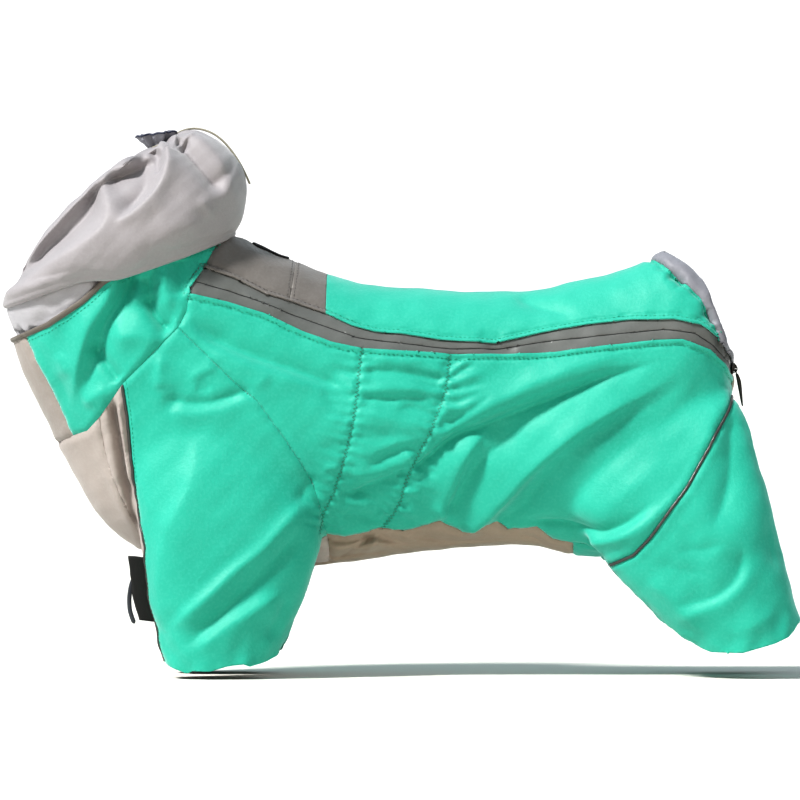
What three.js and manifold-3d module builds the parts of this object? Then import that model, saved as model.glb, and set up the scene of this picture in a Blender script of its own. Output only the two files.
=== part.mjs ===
// Winter overall for a small dog: a hollow softshell body with four legs and a gathered hood.
// Millimetres, +Z up. The head end points to -X and the garment's left side to -Y.
// The origin lies under the middle of the back panel, where the wearer's back carries it.
import * as THREE from 'three';
import { mergeVertices } from 'three/addons/utils/BufferGeometryUtils.js';
import Module from 'manifold-3d';

const wasm = await Module();
wasm.setup();

// ---- driving sizes ----
const WALL = 2.0;            // softshell bonded to its fleece back
const SEAM = 0.3;            // daylight left between two pieces at a seam
const TRIM_THICK = 1.2;      // binding tape and zip welt
const PIPING_DIAMETER = 2.4; // reflective piping
const CORD_DIAMETER = 1.6;   // hood drawcord
const BODY_SEGMENTS = 22;    // points round the body tube
const SIDE_CROWDING = 0.25;  // crowds those points towards the pleated sides
const LEG_SEGMENTS = 10;     // points round each leg
const HOOD_SEGMENTS = 27;    // points round the hood, three for each pleat
const HOOD_PLEATS = 9;       // pleats drawn in at the hood's knot
const FAR = 130;             // reach of a cut, past the widest cloth
const OPEN_RUN = 30;         // how far a hollow runs on past its open end

// ---- body sections, neck mouth first: [x, z] of the top and of the bottom, and half the width ----
const BODY_SECTIONS = [
  { top: [-160, 44], bottom: [-311, -12], half: 47 },
  { top: [-144, 38], bottom: [-305, -46], half: 50 },
  { top: [-129, 31], bottom: [-290, -80], half: 54 },
  { top: [-108, 22], bottom: [-269, -122], half: 57 },
  { top: [-85, 13], bottom: [-241, -168], half: 61 },
  { top: [-62, 6], bottom: [-200, -194], half: 63 },
  { top: [-43, 3], bottom: [-146, -202], half: 63 },
  { top: [-26, 2], bottom: [-90, -199], half: 62 },
  { top: [-8, 1], bottom: [-50, -194], half: 60 },
  { top: [18, -1], bottom: [-6, -188], half: 58 },
  { top: [64, 0], bottom: [58, -184], half: 57 },
  { top: [106, 8], bottom: [106, -192], half: 58 },
  { top: [132, 15], bottom: [138, -188], half: 57 },
  { top: [153, 23], bottom: [164, -170], half: 55 },
  { top: [174, 30], bottom: [184, -150], half: 51 },
  { top: [200, 10], bottom: [200, -122], half: 41 },
  { top: [206, -28], bottom: [208, -98], half: 27 },
];

// ---- leg sections, from inside the body to the hem: front and rear point, middle and half width ----
const FRONT_LEG = [
  { front: [-214, -86], rear: [-86, -92], middle: 34, half: 22 },
  { front: [-220, -125], rear: [-82, -140], middle: 41, half: 28 },
  { front: [-217, -163], rear: [-84, -176], middle: 45, half: 31 },
  { front: [-210, -207], rear: [-95, -208], middle: 47, half: 31 },
  { front: [-204, -240], rear: [-106, -240], middle: 47, half: 31 },
  { front: [-199, -262], rear: [-116, -262], middle: 47, half: 31, drop: 10 },
];
const HIND_LEG = [
  { front: [86, -116], rear: [198, -70], middle: 32, half: 20 },
  { front: [95, -158], rear: [216, -92], middle: 38, half: 26 },
  { front: [117, -194], rear: [227, -122], middle: 43, half: 29 },
  { front: [142, -221], rear: [238, -158], middle: 46, half: 30 },
  { front: [166, -240], rear: [248, -202], middle: 47, half: 29 },
  { front: [183, -251], rear: [257, -244], middle: 47, half: 28, drop: 6 },
];

// ---- hood sections, from the rolled lip to the knot: left and right point in side view ----
const HOOD_SECTIONS = [
  { front: [-315, -11], rear: [-149, 43], half: 57, pleat: 0 },
  { front: [-306, 0], rear: [-144, 51], half: 62, pleat: 0.01 },
  { front: [-295, 20], rear: [-141, 64], half: 63, pleat: 0.02 },
  { front: [-280, 44], rear: [-143, 80], half: 58, pleat: 0.03 },
  { front: [-258, 70], rear: [-152, 94], half: 47, pleat: 0.05 },
  { front: [-234, 88], rear: [-166, 106], half: 32, pleat: 0.1 },
  { front: [-216, 97], rear: [-183, 109], half: 16, pleat: 0.16 },
  { front: [-207.5, 102], rear: [-193.5, 107], half: 7, pleat: 0.1 },
];
// The cloth that stands above the tied neck, opened a little and leaning forward.
const TUFT_SECTIONS = [
  { front: [-207.5, 102.4], rear: [-193.5, 107.4], half: 7, pleat: 0.1 },
  { front: [-208, 105.5], rear: [-194, 110.5], half: 7, pleat: 0.1 },
  { front: [-217.5, 111], rear: [-190, 115.5], half: 13, pleat: 0.2 },
];
const CINCH = { x: -200.9, z: 106.3, radius: 9.3, cord: 0.9, tilt: 0.35, turns: 24 };
const DRAWCORD_ROUTE = [
  [-191.5, 4, 109.5], [-188, 7, 112], [-183, 10, 114], [-177, 12, 115], [-171, 13, 114.4],
  [-165, 14, 112.2], [-160, 14, 108.6], [-155, 14, 104], [-150, 14, 98], [-146, 14, 91.5],
  [-142, 14, 84], [-139, 14, 76],
];

// ---- the largest folds, both sides alike: a line [x, z] to [x, z], its reach and its depth inwards ----
const FOLDS = [
  { from: [-19, -128], to: [60, -82], reach: 11, deep: 6 },
  { from: [60, -82], to: [144, -53], reach: 12, deep: 5 },
  { from: [0, -160], to: [70, -118], reach: 9, deep: -4 },
  { from: [86, -171], to: [128, -176], reach: 10, deep: 5 },
  { from: [-199, -76], to: [-131, -74], reach: 13, deep: 4 },
  { from: [-176, -8], to: [-100, -60], reach: 12, deep: 3 },
  { from: [-150, -210], to: [-100, -165], reach: 12, deep: 4 },
];
// Two zigzag elastic lines gather the waist, and the cloth between them stands in level pleats.
const GATHER = { front: -66, rear: -12, pitch: 24, deep: 3.5, low: -160, high: -45 };

// ---- seam lines in side view, [x, z] ----
const COLLAR_TOP = [
  [-330, -44], [-300, -33], [-279, -24], [-255, -8], [-240, 6], [-215, 16], [-163, 34], [-130, 46],
];
const NECK_SEAM = [
  [-140, 50], [-160, 33], [-170, 14], [-179, 1], [-183, -20], [-202, -42], [-226, -66], [-243, -90],
  [-253, -101], [-262, -104], [-290, -114],
];
const COLLAR_FRONT = [[-264, -108], [-267, -98], [-277, -77], [-289, -52], [-301, -28]];
const YOKE_STITCH = [[-103, 40], [-104, 17], [-108, -10]];
const YOKE_STITCH_RIGHT = [[-103, 40], [-104, 17], [-109, -19]];
const YOKE_END = [[-81, 40], [-81, 11], [-82, -20]];
const YOKE_END_RIGHT = [[-81, 40], [-81, 11], [-83, -29]];
const ZIP_UPPER = [
  [-176, 20], [-147, 8], [-106, -9], [-63, -26], [-29, -32], [20, -37], [74, -30], [104, -25],
  [160, -21], [186, -25], [199, -34], [210, -49],
];
const ZIP_CENTRE = [
  [-180, 8], [-150, -1], [-108, -17], [-60, -34], [-29, -38], [20, -42], [74, -37], [111, -33],
  [160, -28], [189, -34], [202, -45], [214, -60],
];
const ZIP_LOWER = [
  [-184, -5], [-152, -9], [-113, -23], [-57, -42], [-29, -44], [20, -47], [74, -45], [118, -40],
  [165, -35], [193, -43], [203, -54], [212, -66],
];
const SHOULDER_SEAM = [
  [-192, -16], [-148, -65], [-130, -80], [-111, -106], [-99, -124], [-90, -145],
  [-84, -172], [-78, -184], [-78, -215],
];
const SIDE_HEM = [
  [-86, -175], [-68, -177], [-44, -171], [-24, -173], [0, -166], [16, -174], [41, -166], [69, -171],
  [81, -178], [97, -180], [114, -178], [130, -176], [152, -174],
];
const BELLY_END = [[94, -178], [97, -188], [98, -215]];
const CHEST_SEAM = [[-248, -84], [-240, -107], [-236, -133], [-229, -149], [-220, -166], [-214, -215]];
const FRONT_PIPING = [
  [-230, -60], [-225, -88], [-219, -134], [-213, -165], [-209, -182], [-216, -194], [-226, -200],
];
const HIND_PIPING_REAR = [[222, -58], [211, -73], [199, -97], [189, -117]];
const HIND_PIPING_SIDE = [
  [191, -113], [189, -117], [176, -140], [163, -158], [150, -176], [138, -189], [121, -197], [108, -206],
];
const TAIL_EDGE = [[140, 45], [153, 23], [163, 28], [182, 16], [191, 1], [201, -22], [210, -50], [222, -56]];
const TAIL_BINDING_EDGE = [
  [134, 40], [150, 22], [166, 14], [178, 4], [189, -6], [197, -20], [206, -44], [214, -54],
];
const STRIP_HALF = 12;       // half the belly strip between the front legs
const PIPING_INNER = 20;     // the piping seams stay this far out from the middle
const OUTSIDE = { head: -400, rear: 300, top: 200, bottom: -300 }; // well clear of the cloth

// ---- where each leg's outer piece parts from its inner piece, as side-view outlines ----
const FRONT_LEG_SPLIT = [
  [-250, -300], [-70, -300], [-70, -178], [-81, -178], [-89, -150], [-216, -150], [-212.5, -166],
  [-208.5, -181], [-250, -181],
];
const FRONT_LEG_CORNER = { from: [-216.2, -150], to: [-190, -150], outer: 47.2 };
const HIND_LEG_SPLIT_INSET = 2;
const HIND_LEG_SPLIT_REST = [[60, -300], [300, -300], [300, -40]];
const STRIP_SPLIT = { front: -220, low: -230, rear: -78, high: -150 };
const SEAT_SPLIT = { front: 97, low: -230, rear: 240, high: -38 };
const LEAST_PANEL = 20;      // mm3; a loose bit smaller than this is a sliver of a seam cut

// ---- piping routes in side view, [x, z], and the point where each turns under or on to its leg ----
const FRONT_PIPING_LAID = [[-226, -76], [-224, -95], [-221, -120], [-218, -142], [-215, -163]];
const FRONT_PIPING_TURN = { x: -213.4, out: 48, z: -184 };
const FRONT_PIPING_PROUD = { forward: 0.6, out: 1, up: 1 };
const HIND_PIPING_LAID = [
  [206, -84], [199, -97], [189, -117], [176, -140], [163, -158], [150, -176], [138, -187],
];
const HIND_PIPING_TURN = { x: 124, out: 48, z: -197 };
const PIPING_STEPS = { front: 26, hind: 22 };
const CORD_STEPS = 20;
const FACING_FOLD = 0.85;    // how far up the collar the facing starts to roll outwards

// ---- zip slider, its pull tab, and the folded label ----
const SLIDER = { high: 13, wide: 8, waist: 5, deep: 5, z: -54 };
const TAB = { long: 27, wide: 5, thick: 1.6, drop: 3, lean: 0.19 };
const LABEL = { top: -192, bottom: -237, wide: 10, thick: 1.2, above: 2 };
const WELT = { front: -136, rear: -108, half: 5 };
const COLLAR_BINDING = { wide: 4.5, rear: -168 };

const COLOURS = {
  mint: 0x3fcfa6, grey: 0x9a9290, pale: 0xc8c0bb, zip: 0x7d7876, reflective: 0x55554e,
  binding: 0xa5a0aa, black: 0x151515, cord: 0x9b9488,
};

// ---- shapes ----
function solid(geometry) {
  geometry.deleteAttribute('normal');
  geometry.deleteAttribute('uv');
  const merged = mergeVertices(geometry, 1e-4);
  const mesh = new wasm.Mesh({
    numProp: 3,
    vertProperties: new Float32Array(merged.attributes.position.array),
    triVerts: new Uint32Array(merged.index.array),
  });
  return new wasm.Manifold(mesh);
}

function distanceToLine(x, z, from, to) {
  const run = [to[0] - from[0], to[1] - from[1]];
  const share = ((x - from[0]) * run[0] + (z - from[1]) * run[1]) / (run[0] ** 2 + run[1] ** 2);
  const held = Math.min(1, Math.max(0, share));
  return Math.hypot(x - from[0] - held * run[0], z - from[1] - held * run[1]);
}

// How far the cloth is drawn inwards at a place on the side.
function foldDepth(x, z) {
  const folds = FOLDS.reduce((sum, fold) => {
    const away = distanceToLine(x, z, fold.from, fold.to) / fold.reach;
    return sum + fold.deep * Math.exp(-away * away);
  }, 0);
  const gathered = x > GATHER.front && x < GATHER.rear && z > GATHER.low && z < GATHER.high;
  return folds + (gathered ? GATHER.deep * Math.sin((2 * Math.PI * z) / GATHER.pitch) : 0);
}

// One closed section: an oval through its two named points, pushed out by grow, pleated where it says.
function sectionPoints(row, segments, grow) {
  const first = row.top ?? row.front;
  const last = row.bottom ?? row.rear;
  const middle = row.middle ?? 0;
  const centre = [(first[0] + last[0]) / 2, (first[1] + last[1]) / 2];
  const arm = [(first[0] - last[0]) / 2, (first[1] - last[1]) / 2];
  const reach = Math.hypot(arm[0], arm[1]);
  const points = [];
  for (let i = 0; i < segments; i += 1) {
    const even = (2 * Math.PI * i) / segments;
    const angle = even + (row.top ? SIDE_CROWDING * Math.sin(2 * even) : 0);
    const pleat = 1 + (row.pleat ?? 0) * Math.cos(HOOD_PLEATS * angle);
    const along = Math.cos(angle) * pleat * (1 + grow / reach);
    const across = Math.sin(angle) * pleat * (row.half + grow);
    const dip = (row.drop ?? 0) * Math.max(0, Math.sin(angle));
    const x = centre[0] + arm[0] * along;
    const z = centre[1] + arm[1] * along - dip;
    const drawnIn = row.top ? foldDepth(x, z) * Math.sin(angle) : 0;
    points.push(new THREE.Vector3(x, -(middle + across - drawnIn), z));
  }
  return points;
}

// A closed loft through sections that all have the same number of points.
function loft(rings) {
  const count = rings[0].length;
  const positions = [];
  const faces = [];
  rings.flat().forEach((point) => positions.push(point.x, point.y, point.z));
  for (let r = 0; r < rings.length - 1; r += 1) {
    for (let i = 0; i < count; i += 1) {
      const here = r * count + i;
      const next = r * count + ((i + 1) % count);
      faces.push(here, here + count, next, next, here + count, next + count);
    }
  }
  [0, rings.length - 1].forEach((r) => {
    const centre = rings[r].reduce((sum, point) => sum.add(point), new THREE.Vector3());
    centre.divideScalar(count);
    const hub = positions.length / 3;
    positions.push(centre.x, centre.y, centre.z);
    for (let i = 0; i < count; i += 1) {
      const here = r * count + i;
      const next = r * count + ((i + 1) % count);
      faces.push(...(r === 0 ? [hub, here, next] : [hub, next, here]));
    }
  });
  const geometry = new THREE.BufferGeometry();
  geometry.setAttribute('position', new THREE.Float32BufferAttribute(positions, 3));
  geometry.setIndex(faces);
  const made = solid(geometry);
  if (made.volume() > 0) return made;
  const flipped = [];
  for (let f = 0; f < faces.length; f += 3) flipped.push(faces[f], faces[f + 2], faces[f + 1]);
  geometry.setIndex(flipped);
  return solid(geometry);
}

// Carry the last ring on by a distance, away from the ring before it.
function runOn(rings, atStart, distance) {
  const edge = atStart ? rings[0] : rings[rings.length - 1];
  const before = atStart ? rings[1] : rings[rings.length - 2];
  const direction = centreOf(edge).sub(centreOf(before)).normalize().multiplyScalar(distance);
  const extra = edge.map((point) => point.clone().add(direction));
  return atStart ? [extra, ...rings] : [...rings, extra];
}

function centreOf(ring) {
  return ring.reduce((sum, point) => sum.add(point), new THREE.Vector3()).divideScalar(ring.length);
}

function mirrored(made) {
  return made.mirror([0, 1, 0]);
}

// The whole worn form, body and legs, pushed out by grow. A hollow one runs on past the open ends.
function wornForm(grow, hollow) {
  let body = BODY_SECTIONS.map((row) => sectionPoints(row, BODY_SEGMENTS, grow));
  if (hollow) {
    body = runOn(body, true, OPEN_RUN);
    const rump = body[body.length - 1];
    rump.forEach((point) => { point.x += grow; });
  }
  let form = loft(body);
  [FRONT_LEG, HIND_LEG].forEach((table) => {
    let rings = table.map((row) => sectionPoints(row, LEG_SEGMENTS, grow));
    if (hollow) rings = runOn(rings, false, OPEN_RUN);
    const leg = loft(rings);
    form = form.add(leg).add(mirrored(leg));
  });
  return form;
}

// A prism of a side-view outline between two Y values.
function prism(outline, yFrom, yTo) {
  const shape = new THREE.Shape(outline.map(([x, z]) => new THREE.Vector2(x, z)));
  const geometry = new THREE.ExtrudeGeometry(shape, { depth: Math.abs(yTo - yFrom), bevelEnabled: false });
  geometry.rotateX(Math.PI / 2);
  geometry.translate(0, Math.max(yFrom, yTo), 0);
  return solid(geometry);
}

// The outline of a band of a given width along a side-view line.
function band(line, width, shift = 0) {
  const upper = [];
  const lower = [];
  line.forEach(([x, z], i) => {
    const before = line[Math.max(i - 1, 0)];
    const after = line[Math.min(i + 1, line.length - 1)];
    const length = Math.hypot(after[0] - before[0], after[1] - before[1]);
    const normal = [-(after[1] - before[1]) / length, (after[0] - before[0]) / length];
    upper.push([x + normal[0] * (shift + width / 2), z + normal[1] * (shift + width / 2)]);
    lower.push([x + normal[0] * (shift - width / 2), z + normal[1] * (shift - width / 2)]);
  });
  return [...upper, ...lower.reverse()];
}

// A cut as wide as the seam gap along a side-view line, through the cloth between two Y values.
function seamCut(line, yFrom, yTo) {
  return prism(band(line, SEAM), yFrom, yTo);
}

// A cut in a plane of constant Y, over a side-view outline.
function planeCut(outline, y) {
  return prism(outline, y - SEAM / 2, y + SEAM / 2);
}

function rectangle(x1, z1, x2, z2) {
  return [[x1, z1], [x2, z1], [x2, z2], [x1, z2]];
}

// ---- the cloth shell and its seams ----
const outerForm = wornForm(0, false);
let shell = outerForm.subtract(wornForm(-WALL, true));
const tailEnd = TAIL_EDGE[TAIL_EDGE.length - 1];
const behindTail = [
  ...TAIL_EDGE, [OUTSIDE.rear, tailEnd[1]], [OUTSIDE.rear, OUTSIDE.top], [TAIL_EDGE[0][0], OUTSIDE.top],
];
shell = shell.subtract(prism(behindTail, -FAR, FAR));
const collarEnd = COLLAR_TOP[COLLAR_TOP.length - 1];
const aboveMouth = [
  [OUTSIDE.head, COLLAR_TOP[0][1]], ...COLLAR_TOP, [collarEnd[0], OUTSIDE.top], [OUTSIDE.head, OUTSIDE.top],
];
shell = shell.subtract(prism(aboveMouth, -FAR, FAR));

const wholeWidth = [NECK_SEAM, TAIL_BINDING_EDGE, CHEST_SEAM, BELLY_END];
wholeWidth.forEach((line) => { shell = shell.subtract(seamCut(line, -FAR, FAR)); });
const EACH_SIDE = [
  { line: COLLAR_FRONT, from: STRIP_HALF },
  { line: SHOULDER_SEAM, from: STRIP_HALF },
  { line: SIDE_HEM, from: 0 },
  { line: FRONT_PIPING, from: PIPING_INNER },
  { line: HIND_PIPING_REAR, from: 0 },
  { line: HIND_PIPING_SIDE, from: PIPING_INNER },
  { line: ZIP_CENTRE, from: 0 },
];
EACH_SIDE.forEach((row) => {
  shell = shell.subtract(seamCut(row.line, -FAR, -row.from)).subtract(seamCut(row.line, row.from, FAR));
});
[ZIP_UPPER, ZIP_LOWER, YOKE_STITCH, YOKE_END].forEach((line) => {
  shell = shell.subtract(seamCut(line, -FAR, 0));
});
[YOKE_STITCH_RIGHT, YOKE_END_RIGHT].forEach((line) => { shell = shell.subtract(seamCut(line, 0, FAR)); });

const splitRectangle = (split) => rectangle(split.front, split.low, split.rear, split.high);
const hindSplitEdge = [...HIND_PIPING_REAR, ...HIND_PIPING_SIDE.slice(1)].map(([x, z]) => (
  [x - HIND_LEG_SPLIT_INSET, z + HIND_LEG_SPLIT_INSET]
));
const cornerLine = [FRONT_LEG_CORNER.from, FRONT_LEG_CORNER.to];
[-1, 1].forEach((side) => {
  shell = shell.subtract(planeCut(FRONT_LEG_SPLIT, side * FRONT_LEG[4].middle));
  shell = shell.subtract(seamCut(cornerLine, side * PIPING_INNER, side * FRONT_LEG_CORNER.outer));
  shell = shell.subtract(planeCut([...hindSplitEdge, ...HIND_LEG_SPLIT_REST], side * HIND_LEG[4].middle));
  shell = shell.subtract(planeCut(splitRectangle(STRIP_SPLIT), side * STRIP_HALF));
});
shell = shell.subtract(planeCut(splitRectangle(SEAT_SPLIT), 0));

const loosePieces = shell.decompose().filter((piece) => piece.volume() > LEAST_PANEL);

// Each panel is the loose piece that holds most of a small block at its named place.
function panelAt(x, z, yFrom, yTo, reach = 4) {
  const block = prism(rectangle(x - reach, z - reach, x + reach, z + reach), yFrom, yTo);
  const shares = loosePieces.map((piece) => piece.intersect(block).volume());
  return loosePieces[shares.indexOf(Math.max(...shares))];
}

const group = new THREE.Group();

function place(name, made, colour, roughness = 0.7) {
  const mesh = made.getMesh();
  const geometry = new THREE.BufferGeometry();
  geometry.setAttribute('position', new THREE.BufferAttribute(new Float32Array(mesh.vertProperties), 3));
  geometry.setIndex(new THREE.BufferAttribute(new Uint32Array(mesh.triVerts), 1));
  geometry.computeVertexNormals();
  const material = new THREE.MeshStandardMaterial({ color: colour, roughness, metalness: 0 });
  const node = new THREE.Mesh(geometry, material);
  node.name = name;
  group.add(node);
}

const CENTRE_PANELS = [
  { name: 'throat_panel', x: -295, z: -60, from: -5, to: 5, colour: COLOURS.grey },
  { name: 'chest_panel', x: -258, z: -135, from: -5, to: 5, colour: COLOURS.pale },
  { name: 'yoke_front', x: -122, z: 20, from: -30, to: 30, colour: COLOURS.grey },
  { name: 'yoke_rear', x: -93, z: 8, from: -30, to: 30, colour: COLOURS.grey },
  { name: 'back_panel', x: 20, z: -5, from: -30, to: 30, colour: COLOURS.mint },
  { name: 'belly_panel', x: -18, z: -188, from: -5, to: 5, colour: COLOURS.grey },
  { name: 'tail_binding', x: 161, z: 24, from: -20, to: 20, colour: COLOURS.binding },
];
const SIDE_PANELS = [
  { name: 'collar', x: -223, z: -29, from: 20, to: FAR, colour: COLOURS.mint },
  { name: 'shoulder', x: -173, z: -115, from: 50, to: FAR, colour: COLOURS.mint },
  { name: 'side', x: -14, z: -115, from: 20, to: FAR, colour: COLOURS.mint },
  { name: 'chest_side', x: -230, z: -110, from: 20, to: FAR, colour: COLOURS.pale },
  { name: 'hind_leg_outer', x: 205, z: -180, from: 50, to: FAR, colour: COLOURS.mint },
  { name: 'hind_leg_inner', x: 205, z: -180, from: 5, to: 40, colour: COLOURS.mint },
];
CENTRE_PANELS.forEach((row) => {
  place(row.name, panelAt(row.x, row.z, row.from, row.to), row.colour);
});
[['left', -1], ['right', 1]].forEach(([word, side]) => {
  SIDE_PANELS.forEach((row) => {
    place(`${row.name}_${word}`, panelAt(row.x, row.z, side * row.from, side * row.to), row.colour);
  });
});
place('zip_tape_upper', panelAt(1, -38.6, -FAR, -5, 1), COLOURS.zip, 0.5);
place('zip_tape_lower', panelAt(1, -43.6, -FAR, -5, 1), COLOURS.zip, 0.5);

// ---- hood: a tube gathered at the top, its lip rolled over the collar ----
const hoodRings = HOOD_SECTIONS.map((row) => sectionPoints(row, HOOD_SEGMENTS, 0));
const hoodHollow = HOOD_SECTIONS.slice(0, -1).map((row) => sectionPoints(row, HOOD_SEGMENTS, -WALL));
place('hood', loft(hoodRings).subtract(loft(runOn(hoodHollow, true, OPEN_RUN))), COLOURS.grey);
const tuftRings = TUFT_SECTIONS.map((row) => sectionPoints(row, HOOD_SEGMENTS, 0));
place('hood_tuft', loft(tuftRings), COLOURS.binding);

// The facing joins the inside of the collar's edge to the inside of the hood's roll.
function between(a, b, share) {
  const mix = (p, q) => [p[0] + (q[0] - p[0]) * share, p[1] + (q[1] - p[1]) * share];
  const half = a.half + (b.half - a.half) * share;
  return { top: mix(a.top, b.top), bottom: mix(a.bottom, b.bottom), half };
}

function facingRings(grow) {
  const hoodRow = HOOD_SECTIONS[1];
  const rows = [
    BODY_SECTIONS[1],
    between(BODY_SECTIONS[1], BODY_SECTIONS[0], FACING_FOLD),
    { top: hoodRow.rear, bottom: hoodRow.front, half: hoodRow.half },
  ];
  return rows.map((row) => sectionPoints(row, BODY_SEGMENTS, grow - WALL - 3 * SEAM));
}
const facingHollow = runOn(runOn(facingRings(-WALL), true, OPEN_RUN), false, OPEN_RUN);
place('hood_facing', loft(facingRings(0)).subtract(loft(facingHollow)), COLOURS.grey);

// ---- drawcord: wound once round the neck of the knot, its free end over the hood's shoulder ----
const cinchGeometry = new THREE.TorusGeometry(CINCH.radius, CINCH.cord, 8, CINCH.turns);
cinchGeometry.rotateY(-CINCH.tilt);
cinchGeometry.translate(CINCH.x, 0, CINCH.z);
place('hood_cinch', solid(cinchGeometry), COLOURS.cord);

function tube(points, diameter, steps) {
  const section = new THREE.Shape();
  section.absarc(0, 0, diameter / 2, 0, 2 * Math.PI);
  const route = new THREE.CatmullRomCurve3(points.map((point) => new THREE.Vector3(...point)));
  const geometry = new THREE.ExtrudeGeometry(section, { steps, extrudePath: route, curveSegments: 4 });
  return solid(geometry);
}
place('drawcord', tube(DRAWCORD_ROUTE, CORD_DIAMETER, CORD_STEPS), COLOURS.cord);

// ---- trims laid on the cloth: each is cut to clear the cloth under it ----
const clothUnder = wornForm(SEAM, false);
const trimSkin = wornForm(SEAM + TRIM_THICK, false).subtract(clothUnder);
const bindingLine = COLLAR_TOP.filter(([x]) => x < COLLAR_BINDING.rear);
const collarBand = prism(band(bindingLine, COLLAR_BINDING.wide, -COLLAR_BINDING.wide / 2), -FAR, FAR);
place('collar_binding', trimSkin.intersect(collarBand), COLOURS.binding);
const weltPlan = prism(rectangle(WELT.front, 0, WELT.rear, 60), -WELT.half, WELT.half);
place('leash_welt', trimSkin.intersect(weltPlan), COLOURS.black);

function largest(made) {
  return made.decompose().reduce((best, piece) => (piece.volume() > best.volume() ? piece : best));
}

function meshOf(made) {
  const raw = made.getMesh();
  const geometry = new THREE.BufferGeometry();
  geometry.setAttribute('position', new THREE.BufferAttribute(new Float32Array(raw.vertProperties), 3));
  geometry.setIndex(new THREE.BufferAttribute(new Uint32Array(raw.triVerts), 1));
  return new THREE.Mesh(geometry, new THREE.MeshStandardMaterial({ side: THREE.DoubleSide }));
}
const clothMesh = meshOf(clothUnder);

// The first point of the cloth that a line of sight meets.
function firstHit(from, direction) {
  const ray = new THREE.Raycaster(new THREE.Vector3(...from), new THREE.Vector3(...direction));
  return ray.intersectObject(clothMesh)[0].point;
}

function pipingRoute(line, side) {
  return line.map(([x, z]) => {
    const hit = firstHit([x, side * 2 * FAR, z], [0, -side, 0]);
    return [x, hit.y + side * (PIPING_DIAMETER / 4), z];
  });
}
[['left', -1], ['right', 1]].forEach(([word, side]) => {
  const legFront = FRONT_LEG.slice(3).map((row) => [
    row.front[0] - FRONT_PIPING_PROUD.forward,
    side * (row.middle + FRONT_PIPING_PROUD.out),
    row.front[1] + FRONT_PIPING_PROUD.up,
  ]);
  const frontTurn = [FRONT_PIPING_TURN.x, side * FRONT_PIPING_TURN.out, FRONT_PIPING_TURN.z];
  const frontRoute = [...pipingRoute(FRONT_PIPING_LAID, side), frontTurn, ...legFront];
  const frontTube = tube(frontRoute, PIPING_DIAMETER, PIPING_STEPS.front).subtract(clothUnder);
  place(`piping_front_${word}`, largest(frontTube), COLOURS.reflective);
  const hindTurn = [HIND_PIPING_TURN.x, side * HIND_PIPING_TURN.out, HIND_PIPING_TURN.z];
  const hindRoute = [...pipingRoute(HIND_PIPING_LAID, side), hindTurn];
  const hindTube = tube(hindRoute, PIPING_DIAMETER, PIPING_STEPS.hind).subtract(clothUnder);
  place(`piping_hind_${word}`, largest(hindTube), COLOURS.reflective);
});

// ---- zip slider at the rump, its pull tab hanging on a pin, and the folded label on the leg seam ----
const sliderSeat = firstHit([2 * FAR, 0, SLIDER.z], [-1, 0, 0]).x;
const sliderPlan = [
  [-SLIDER.wide / 2, SLIDER.high / 2], [SLIDER.wide / 2, SLIDER.high / 2],
  [SLIDER.waist / 2, -SLIDER.high / 2], [-SLIDER.waist / 2, -SLIDER.high / 2],
];

// A plate of a rear-view outline, [y, z], standing off from a given x.
function plate(outline, x, thick) {
  const shape = new THREE.Shape(outline.map(([y, z]) => new THREE.Vector2(y, z)));
  const geometry = new THREE.ExtrudeGeometry(shape, { depth: thick, bevelEnabled: false });
  geometry.rotateX(Math.PI / 2);
  geometry.rotateZ(Math.PI / 2);
  geometry.translate(x, 0, 0);
  return geometry;
}
const sliderGeometry = plate(sliderPlan, sliderSeat, SLIDER.deep);
sliderGeometry.translate(0, 0, SLIDER.z);
place('zip_slider', solid(sliderGeometry).subtract(clothUnder), COLOURS.black, 0.4);

const tabPivot = [sliderSeat + SLIDER.deep + TAB.thick / 2 + SEAM, SLIDER.z - TAB.drop];
const tabPlan = [
  [-TAB.wide / 2, 0], [TAB.wide / 2, 0], [TAB.wide / 2, -TAB.long], [-TAB.wide / 2, -TAB.long],
];
const tabGeometry = plate(tabPlan, -TAB.thick / 2, TAB.thick);
tabGeometry.rotateY(-TAB.lean);
tabGeometry.translate(tabPivot[0], 0, tabPivot[1]);
place('zip_pull', solid(tabGeometry), COLOURS.black, 0.4);

const legSlope = (z) => {
  const [high, low] = [FRONT_LEG[3].front, FRONT_LEG[5].front];
  return high[0] + ((z - high[1]) / (low[1] - high[1])) * (low[0] - high[0]);
};
const labelEdge = (z) => legSlope(z) - PIPING_DIAMETER - SEAM;
const labelOutline = [
  [labelEdge(LABEL.top), LABEL.top], [labelEdge(LABEL.bottom), LABEL.bottom],
  [labelEdge(LABEL.bottom) - LABEL.wide, LABEL.bottom + LABEL.above],
  [labelEdge(LABEL.top) - LABEL.wide, LABEL.top + LABEL.above],
];
const labelY = -FRONT_LEG[4].middle - 1;
place('side_label', prism(labelOutline, labelY - LABEL.thick / 2, labelY + LABEL.thick / 2), COLOURS.black);

export default group;
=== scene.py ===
import math

import bpy
import numpy as np
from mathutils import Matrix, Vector
from mathutils.bvhtree import BVHTree
from mathutils.kdtree import KDTree


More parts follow.
